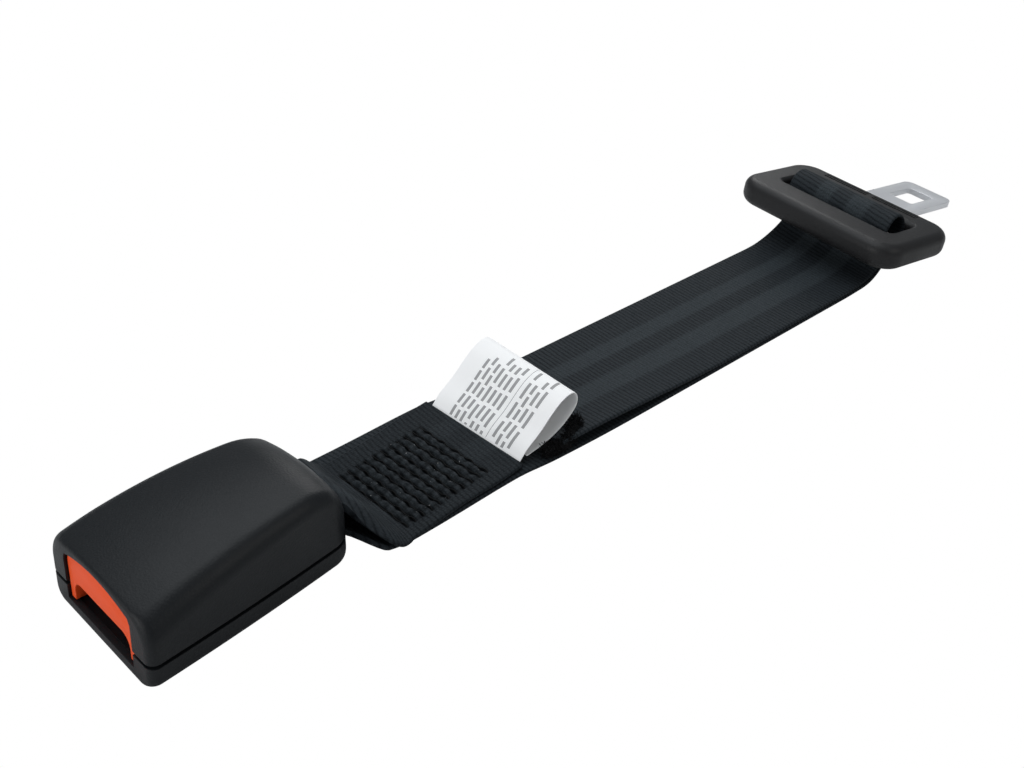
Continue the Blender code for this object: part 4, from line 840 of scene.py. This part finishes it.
def across_direction(x):
    """Direction across the strap, turning to the tongue's own axis near the tongue."""
    share = smooth_step((x - (TONGUE_X - 0.8 * STRAP_RISE_LENGTH)) / (0.6 * STRAP_RISE_LENGTH))
    return Vector((0, 1, 0)).lerp(TONGUE_ACROSS, share).normalized()


def upper_lift(x, s):
    """How far the upper run's near edge stands up at x; s runs from -1, near, to 1, far."""
    fade = 1 - smooth_step((x - END_B_X) / UPPER_LIFT_LENGTH)
    return UPPER_LIFT * fade * ((1 - s) / 2) ** 2


def spline_at(p0, p1, p2, p3, t):
    """A smooth value between p1 and p2, bent by their neighbours."""
    return 0.5 * (2 * p1 + (p2 - p0) * t + (2 * p0 - 5 * p1 + 4 * p2 - p3) * t ** 2
                  + (3 * p1 - p0 - 3 * p2 + p3) * t ** 3)


def neighbours(values, i):
    """The two values around gap i of a list and one more on each side, where there is one."""
    return values[max(i - 1, 0)], values[i], values[i + 1], values[min(i + 2, len(values) - 1)]


def along_list(values, share):
    """A smooth value from a list of evenly spaced ones."""
    place = min(max(share, 0.0), 1.0) * (len(values) - 1)
    i = min(int(place), len(values) - 2)
    return spline_at(*neighbours(values, i), place - i)


def ply_centre(x):
    """Y of the top ply's middle line, which lies a little askew."""
    return TOP_PLY_CENTRE - TOP_PLY_SKEW * (END_A_X - x)


def block_share(x, along):
    """1 within the stitched block, easing to 0 at its edges; along runs across the strap."""
    half_length = STITCH_PITCH * (STITCH_LINES / 2 + 0.1)
    inside = smooth_step((STITCH_HALF - abs(along)) / BLOCK_FADE + 0.5)
    return inside * smooth_step((half_length - abs(x - STITCH_MIDDLE_X)) / BLOCK_FADE + 0.5)


def bead_relief(x, y):
    """Height, painted shade and share of the stitched block: beaded ridges with painted shade in the sunk
    lines between them and a painted highlight on their tops.
    """
    row = min(max(round((x - STITCH_FIRST_X) / STITCH_PITCH), 0), STITCH_LINES - 1)
    along = y - ply_centre(x) - STITCH_SHIFT
    inside = block_share(x, along)
    if inside <= 0:
        return 0.0, 1.0, 0.0
    beat = math.pi * along / STITCH_LENGTH + BEAD_ROW_TURN * row
    line = STITCH_FIRST_X + row * STITCH_PITCH + STITCH_ZIGZAG * math.sin(beat)
    across = min(abs(x - line) / BEAD_HALF_WIDTH, 1.0)
    lumps = 0.8 + 0.35 * noise.noise(Vector((x, y, 0.0)) * 500)
    swell = 0.5 + 0.5 * math.cos(beat) ** 2
    bead = (1 - across ** 2.5) * swell * lumps
    # painted shade in the sunk lines between the beads, and a painted highlight on their tops
    darkest, gain = BEAD_SHADE
    shade = 1 - inside * (1 - (darkest + gain * smooth_step(2.2 * (1 - across)) * swell))
    return inside * (BEAD_HEIGHT * bead - BLOCK_SINK), shade, inside


def lower_half_width(x):
    """Half the lower run's width at x: it stays wide until it nears the casing."""
    share = smooth_step((LOWER_GATHER_START - x) / LOWER_GATHER_LENGTH)
    return (WEB_WIDTH + (WEB_GATHERED_WIDTH - WEB_WIDTH) * share) / 2


def rolled_place(x, s, share):
    """A point where the top ply rolls in; share is 0 at the block and 1 at the casing."""
    near_y, far_y = along_list(LOBE_NEAR_Y, share) * mm, along_list(LOBE_FAR_Y, share) * mm
    edge_z = along_list(LOBE_NEAR_Z if s < 0 else LOBE_FAR_Z, share) * mm
    middle_z = along_list(LOBE_CENTRE_Z, share) * mm
    y = (near_y + far_y) / 2 + (far_y - near_y) / 2 * s
    creases = noise.noise(Vector((x * 90, y * 160, 4.0)))
    wrinkle = LOBE_WRINKLE * math.sin(math.pi * min(share, 1.0)) * creases
    return Vector((x, y, middle_z + (edge_z - middle_z) * abs(s) ** LOBE_CURL + wrinkle))


def top_ply_place(x, z, s):
    """A point on the upper ply: flat on the block, rolled at the casing, gathered inside it."""
    if x >= BLOCK_X:
        half = TOP_PLY_HALF - TOP_PLY_SQUEEZE * smooth_step((END_A_X - SQUEEZE_START - x) / SQUEEZE_LENGTH)
        return Vector((x, ply_centre(x) + half * s, z))
    rolled = rolled_place(x, s, (BLOCK_X - x) / (BLOCK_X - REAR_X))
    gathered = Vector((x, WEB_GATHERED_WIDTH / 2 * s, z))
    outside = smooth_step((x - ANCHOR_X) / (REAR_X - ANCHOR_X))
    return gathered + (rolled - gathered) * outside


def strap_place(index, turn_index, x, z, s):
    """A point on the strap's middle surface; the lower run ends at the path's step turn_index."""
    if index < BUCKLE_PLY_STEPS:
        return top_ply_place(x, z, s)
    if index < turn_index:
        shift = LOWER_SHIFT * math.exp(-((x - LOWER_SHIFT_X) / LOWER_SHIFT_LENGTH) ** 2)
        return Vector((x, shift, z)) + across_direction(x) * (lower_half_width(x) * s)
    lift = upper_lift(x, s) if x < TONGUE_X - STRAP_RISE_LENGTH else 0.0
    return Vector((x, 0, z + lift)) + across_direction(x) * (WEB_WIDTH / 2 * s)


def edge_thinning(s):
    """Share of the strap's thickness at a place across it: its edges are round."""
    edge = min((1 - abs(s)) * WEB_WIDTH / 2 / EDGE_LENGTH, 1.0)
    return EDGE_SHARE + (1 - EDGE_SHARE) * math.sqrt(max(1 - (1 - edge) ** 2, 0.0))


def strap_ring(rows, stations, thickness, on_block):
    """One section's outer points and their relief, from the middle rows before, at and after it."""
    before, row, after = rows
    top, bottom, relief = [], [], []
    for column, s in enumerate(stations):
        place = row[column]
        across = row[min(column + 1, STRAP_COLUMNS)] - row[max(column - 1, 0)]
        normal = (after[column] - before[column]).cross(across).normalized()
        body = thickness / 2 * edge_thinning(s)
        height, shade, stitched = bead_relief(place.x, place.y) if on_block else (0.0, 1.0, 0.0)
        top.append(place + normal * body)
        bottom.append(place - normal * (body + height))
        relief.append((shade, stitched))
    return top + bottom[::-1], relief + relief[::-1]


def strap_rings():
    """The strap's outer points ring by ring, their weave coordinates and relief, and its length."""
    path = strap_path()
    stations = [-1 + 2 * column / STRAP_COLUMNS for column in range(STRAP_COLUMNS + 1)]
    turn_index = max(range(len(path)), key=lambda i: path[i][0])
    middle = [[strap_place(i, turn_index, x, z, s) for s in stations] for i, (x, z) in enumerate(path)]
    rings, texture, relief_map = [], [], []
    travelled = 0.0
    for i, row in enumerate(middle):
        rows = (middle[max(i - 1, 0)], row, middle[min(i + 1, len(path) - 1)])
        thickness = WEB_THICKNESS + (WEB_GATHERED_THICKNESS - WEB_THICKNESS) * gather(path[i][0])
        ring, relief = strap_ring(rows, stations, thickness, i < BLOCK_STEPS)
        travelled += math.dist(path[i], path[max(i - 1, 0)])
        weave = [(WEB_WIDTH / 2 * s / mm, travelled / mm) for s in stations]
        rings.append(ring)
        texture += weave + weave[::-1]
        relief_map += relief
    return rings, texture, relief_map, travelled


def make_strap():
    """The whole strap as one fine ribbon with its weave's coordinates."""
    rings, texture, relief_map, length = strap_rings()
    count = len(rings[0])
    faces = ring_faces(len(rings), count)
    for start in (0, (len(rings) - 1) * count):
        for i in range(STRAP_COLUMNS):
            j = count - 1 - i
            faces.append((start + i, start + i + 1, start + j - 1, start + j))
    strap = add_piece("strap_weave", closed_mesh("strap_weave", rings, faces), WEAVE, "strap")
    write_uv(strap, "strap", texture)
    # the relief map carries the stitched block's painted shade and where the block is
    write_uv(strap, "relief", relief_map)
    smooth(strap, 60)
    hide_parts("webbing")


def write_uv(piece, name, coordinates):
    """Store one coordinate pair for each vertex as a UV map."""
    layer = piece.data.uv_layers.new(name=name)
    for loop in piece.data.loops:
        layer.data[loop.index].uv = coordinates[loop.vertex_index]


def thread_curve(name, runs, radius, finish, resolution=2, thin_ends=0.0):
    """Threads on the strap as round curves, one for each run, thinner by a share at their ends."""
    curve = bpy.data.curves.new(name, "CURVE")
    curve.dimensions = "3D"
    curve.bevel_depth = radius
    curve.bevel_resolution = resolution
    curve.use_fill_caps = True
    for run in runs:
        spline = curve.splines.new("POLY")
        spline.points.add(len(run) - 1)
        for i, (point, place) in enumerate(zip(spline.points, run)):
            point.co = (*place, 1)
            point.radius = 1 - thin_ends * (2 * i / (len(run) - 1) - 1) ** 2
    return add_piece(name, curve, finish, "strap")


def stitched_line(x, seed):
    """One line of lockstitches: each lies on the cloth and dives at its needle holes."""
    chance = random.Random(seed)
    count = round(2 * STITCH_HALF / STITCH_LENGTH)
    top = BLOCK_LIFT + PLY_STEP + WEB_THICKNESS - BLOCK_SINK
    points = []
    for step in range(THREAD_STEPS * count + 1):
        t = step / THREAD_STEPS
        y = ply_centre(x) + STITCH_SHIFT + STITCH_HALF * (2 * t / count - 1)
        lift = THREAD_LIFT * abs(math.sin(math.pi * t)) ** 0.7
        sway = STITCH_ZIGZAG * math.sin(math.pi * t) + chance.uniform(-THREAD_JITTER, THREAD_JITTER)
        points.append((x + sway, y, top + lift))
    return points


def make_stitching():
    """Threads of the block, above and below, and of the tack on the strap's second end."""
    places = [STITCH_FIRST_X + (line - 0.5) * STITCH_PITCH for line in range(STITCH_LINES + 1)]
    runs = [stitched_line(x, line) for line, x in enumerate(places)]
    above = thread_curve("block_stitches", runs, THREAD_RADIUS, THREAD)
    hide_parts("block_stitching")
    refined("underside_stitching", THREAD, "strap")
    refined("end_tack", THREAD, "strap")


def spline_through(points, steps):
    """A smooth line through points, with steps to each gap between them."""
    vectors = [Vector(point) for point in points]
    result = []
    for i in range(len(vectors) - 1):
        result += [spline_at(*neighbours(vectors, i), step / steps) for step in range(steps)]
    return result + [vectors[-1]]


def label_section(share):
    """The label's outer and inner points in side view, and their distances along it."""
    stretch_x, stretch_z = (1 + (far - 1) * (1 - share) for far in LABEL_FAR_STRETCH)
    line = spline_through([(x * stretch_x, z * stretch_z) for x, z in LABEL_PROFILE], LABEL_STEPS)
    outer, inner, distances = [], [], []
    travelled = 0.0
    for j, point in enumerate(line):
        before, after = line[max(j - 1, 0)], line[min(j + 1, len(line) - 1)]
        travelled += (point - before).length
        side = (after - before).normalized()
        offset = Vector((-side.y, side.x)) * (LABEL_THICKNESS / 2)
        place = LABEL_BASE + point * mm
        outer.append(place + offset)
        inner.append(place - offset)
        distances.append(travelled)
    return outer, inner, distances


def make_label():
    """Folded cloth label with a smooth bend; its bars show on the outer side only."""
    rings, texture = [], []
    for i in range(LABEL_COLUMNS + 1):
        share = i / LABEL_COLUMNS
        outer, inner, distances = label_section(share)
        y = LABEL_FAR_Y - LABEL_WIDTH * share
        rings.append([(p.x, y, p.y) for p in outer + inner[::-1]])
        texture += [(LABEL_WIDTH * share / mm, distance) for distance in distances]
        texture += [(-1.0, 0.0)] * len(inner)
    label = loft("care_label", rings, LABEL_CLOTH, "strap")
    write_uv(label, "label", texture)
    smooth(label, 60)
    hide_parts("label")


def fray_fibre(chance, middle):
    """One loose fibre that curls away from the tuft's middle line."""
    place = middle[chance.randrange(len(middle))]
    around = chance.uniform(0, 2 * math.pi)
    reach = FRAY_RADIUS * math.sqrt(chance.random())
    outward = Vector((chance.uniform(-0.4, 0.4), math.cos(around), math.sin(around))).normalized()
    point = place + outward * reach * 0.75
    bend = Vector([chance.uniform(-1, 1) for _ in range(3)])
    direction = (outward + bend).normalized()
    run = [tuple(point)]
    for _ in range(FIBRE_STEPS):
        point = point + direction * (chance.uniform(*FIBRE_STEP) * mm)
        direction = (direction + bend * 0.6).normalized()
        run.append((point.x, point.y, max(point.z, FIBRE_FLOOR)))
    return run


def make_fray():
    """Tangled loose fibres on the strap's second cut end, beside the label, over a dark core."""
    chance = random.Random(11)
    middle = [Vector(p) * mm for p in spline_through(FRAY_MIDDLE, 20)]
    runs = [fray_fibre(chance, middle) for _ in range(FRAY_FIBRES)]
    thread_curve("end_fray", runs, FIBRE_RADIUS, FRAY, resolution=0)
    core = [[tuple(p) for p in middle]]
    thread_curve("end_fray_core", core, 0.8 * FRAY_RADIUS, FRAY, resolution=6, thin_ends=0.45)


def tongue_place():
    """Where the tongue's own frame sits: its origin is the axis that it swings on."""
    turn = Matrix.Rotation(TONGUE_YAW, 4, "Z") @ Matrix.Rotation(TONGUE_DROOP, 4, "Y")
    return Matrix.Translation(TONGUE_POINT) @ turn @ Matrix.Rotation(TONGUE_ROLL, 4, "X")


def rounded_box_ring(low_x, high_x, half_y, radius, z, steps):
    """A rectangle with round corners, as a ring of points at one height."""
    ring = []
    corners = ((high_x, half_y), (low_x, half_y), (low_x, -half_y), (high_x, -half_y))
    for quarter, (x, y) in enumerate(corners):
        middle = (x - math.copysign(radius, x), y - math.copysign(radius, y))
        ring += [(px, py, z) for px, py in arc(middle, radius, 90 * quarter, 90 * quarter + 90, steps)]
    return ring


def handle_rings():
    """The handle's outside, from its underside up, with large round edges."""
    edge = HANDLE_EDGE_ROUND
    profile = arc((0.0, HANDLE_BOTTOM + edge), edge, -90, 0, 10)
    profile += arc((0.0, HANDLE_TOP - edge), edge, 0, 90, 10)
    rings = []
    for reach, z in profile:
        inset = edge - reach
        low_x, high_x, half_y = inset - HANDLE_REAR, HANDLE_FRONT - inset, HANDLE_WIDTH / 2 - inset
        rings.append(rounded_box_ring(low_x, high_x, half_y, HANDLE_CORNER_ROUND - inset, z, 16))
    return rings


def window_rings():
    """Cutter for the handle's window, flared at its top and bottom edges."""
    top, bottom, flare = HANDLE_TOP, HANDLE_BOTTOM, WINDOW_FLARE
    depth = 1.3 * flare
    levels = [(bottom - flare, 2 * flare), (bottom + flare, 0.0)]
    levels += [(top - depth * (1 - t), flare * t ** 2) for t in (0.0, 0.25, 0.5, 0.75, 1.0)]
    levels += [(top + flare, depth)]
    rings = []
    for z, grow in levels:
        x, y = WINDOW_HALF_LENGTH + grow, WINDOW_WIDTH / 2 + grow
        rings.append(rounded_box_ring(-x, x, y, WINDOW_CORNER_ROUND + grow, z, 6))
    return rings


def grip_grooves():
    """Cutters for the rows of grooves in the handle's top, with a gap at the middle."""
    low_z, high_z = HANDLE_TOP - GRIP_DEPTH, HANDLE_TOP + GRIP_DEPTH
    cutters = []
    for row in range(GRIP_COUNT):
        x = HANDLE_FRONT - GRIP_INSET - row * GRIP_PITCH
        low_x, high_x = x - GRIP_WIDTH / 2, x + GRIP_WIDTH / 2
        for side in (1, -1):
            inner = side * GRIP_GAP / 2
            outer = side * (GRIP_GAP / 2 + GRIP_LENGTH)
            ends = [(low_x, inner), (high_x, inner), (high_x, outer), (low_x, outer)]
            cutters.append(loft("groove", [[(px, py, z) for px, py in ends] for z in (low_z, high_z)]))
    return cutters


def make_handle():
    """The tongue's plastic handle with round edges, its window and its grooves."""
    handle = loft("tongue_handle_look", handle_rings())
    cut(handle, [loft("window", window_rings())] + grip_grooves())
    handle.data.transform(tongue_place())
    handle.data.materials.append(HANDLE_PLASTIC)
    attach(handle, "tongue")
    smooth(handle, 32)
    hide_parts("tongue_handle")


def make_hard_parts():
    """Every other CAD piece with its finish."""
    refined("release_button", ORANGE_PLASTIC, "button", 0.3 * mm)
    refined("buckle_frame", STEEL, "buckle", 0.2 * mm)
    refined("anchor_pin", STEEL, "buckle")
    refined("anchor_sleeve", DARK_PLASTIC, "buckle")
    refined("latch_pin", STEEL, "buckle")
    refined("latch", STEEL, "latch", 0.15 * mm)
    refined("ejector", DARK_PLASTIC, "ejector", 0.2 * mm)
    refined("tongue_plate", STEEL, "tongue", 0.25 * mm)
    make_handle()
    for name in ("ejector_spring", "latch_spring", "button_spring_far", "button_spring_near"):
        refined(name, SPRING_STEEL, "buckle")


def make_camera():
    """The photograph's camera."""
    yaw, pitch, roll = CAMERA_YAW, CAMERA_PITCH, CAMERA_ROLL
    forward = Vector((math.cos(yaw) * math.cos(pitch), math.sin(yaw) * math.cos(pitch), -math.sin(pitch)))
    right = Vector((math.sin(yaw), -math.cos(yaw), 0))
    down = forward.cross(right)
    turned_right = math.cos(roll) * right + math.sin(roll) * down
    turned_down = math.cos(roll) * down - math.sin(roll) * right
    camera = add_object("camera", bpy.data.cameras.new("camera"))
    columns = Matrix((turned_right, -turned_down, -forward)).transposed().to_4x4()
    camera.matrix_world = Matrix.Translation(CAMERA_PLACE) @ columns
    camera.data.sensor_width = SENSOR_WIDTH
    camera.data.lens = SENSOR_WIDTH * FOCAL_PIXELS / PHOTO_WIDTH
    camera.data.clip_start = 0.01
    bpy.context.scene.camera = camera


def softbox(name, place, target, size, power, tint):
    """A square soft light that faces a point."""
    lamp = bpy.data.lights.new(name, "AREA")
    lamp.size = size
    lamp.energy = power
    lamp.color = tint
    light = add_object(name, lamp)
    light.location = place
    light.rotation_mode = "QUATERNION"
    light.rotation_quaternion = (Vector(target) - Vector(place)).to_track_quat("-Z", "Y")


def make_floor():
    """A pale floor that takes part in the light and looks white to the camera."""
    graph = Graph("floor")
    ray = graph.node("ShaderNodeLightPath").outputs["Is Camera Ray"]
    plain = graph.node("ShaderNodeBsdfDiffuse", {"Color": FLOOR_TONE}).outputs[0]
    white = graph.node("ShaderNodeEmission", {"Color": WHITE}).outputs[0]
    mixed = graph.node("ShaderNodeMixShader", {0: ray, 1: plain, 2: white}).outputs[0]
    graph.tree.links.new(mixed, graph.tree.nodes["Material Output"].inputs[0])
    mesh = bpy.data.meshes.new("floor")
    corners = [(FLOOR_HALF * x, FLOOR_HALF * y, 0) for x, y in ((-1, -1), (1, -1), (1, 1), (-1, 1))]
    mesh.from_pydata(corners, [], [(0, 1, 2, 3)])
    mesh.materials.append(graph.material)
    floor = add_object("floor", mesh)
    floor.location.z = -FLOOR_DROP


def make_room():
    """Surroundings that are white to the camera and dimmer as light."""
    world = bpy.data.worlds.new("studio")
    bpy.context.scene.world = world
    world.use_nodes = True
    tree = world.node_tree
    ray = tree.nodes.new("ShaderNodeLightPath")
    blend = tree.nodes.new("ShaderNodeMix")
    blend.data_type = "RGBA"
    blend.inputs[6].default_value = ROOM_TONE
    blend.inputs[7].default_value = WHITE
    tree.links.new(ray.outputs["Is Camera Ray"], blend.inputs[0])
    tree.links.new(blend.outputs[2], tree.nodes["Background"].inputs[0])


def make_stage():
    """Floor, room and soft lights."""
    make_floor()
    make_room()
    for name, settings in LIGHTS.items():
        softbox(name, *settings)


def set_render():
    """Plain colour handling."""
    scene = bpy.context.scene
    scene.view_settings.view_transform = "Standard"
    scene.view_settings.look = "None"


make_casing()
make_hard_parts()
make_strap()
make_stitching()
make_label()
make_fray()
make_camera()
make_stage()
set_render()
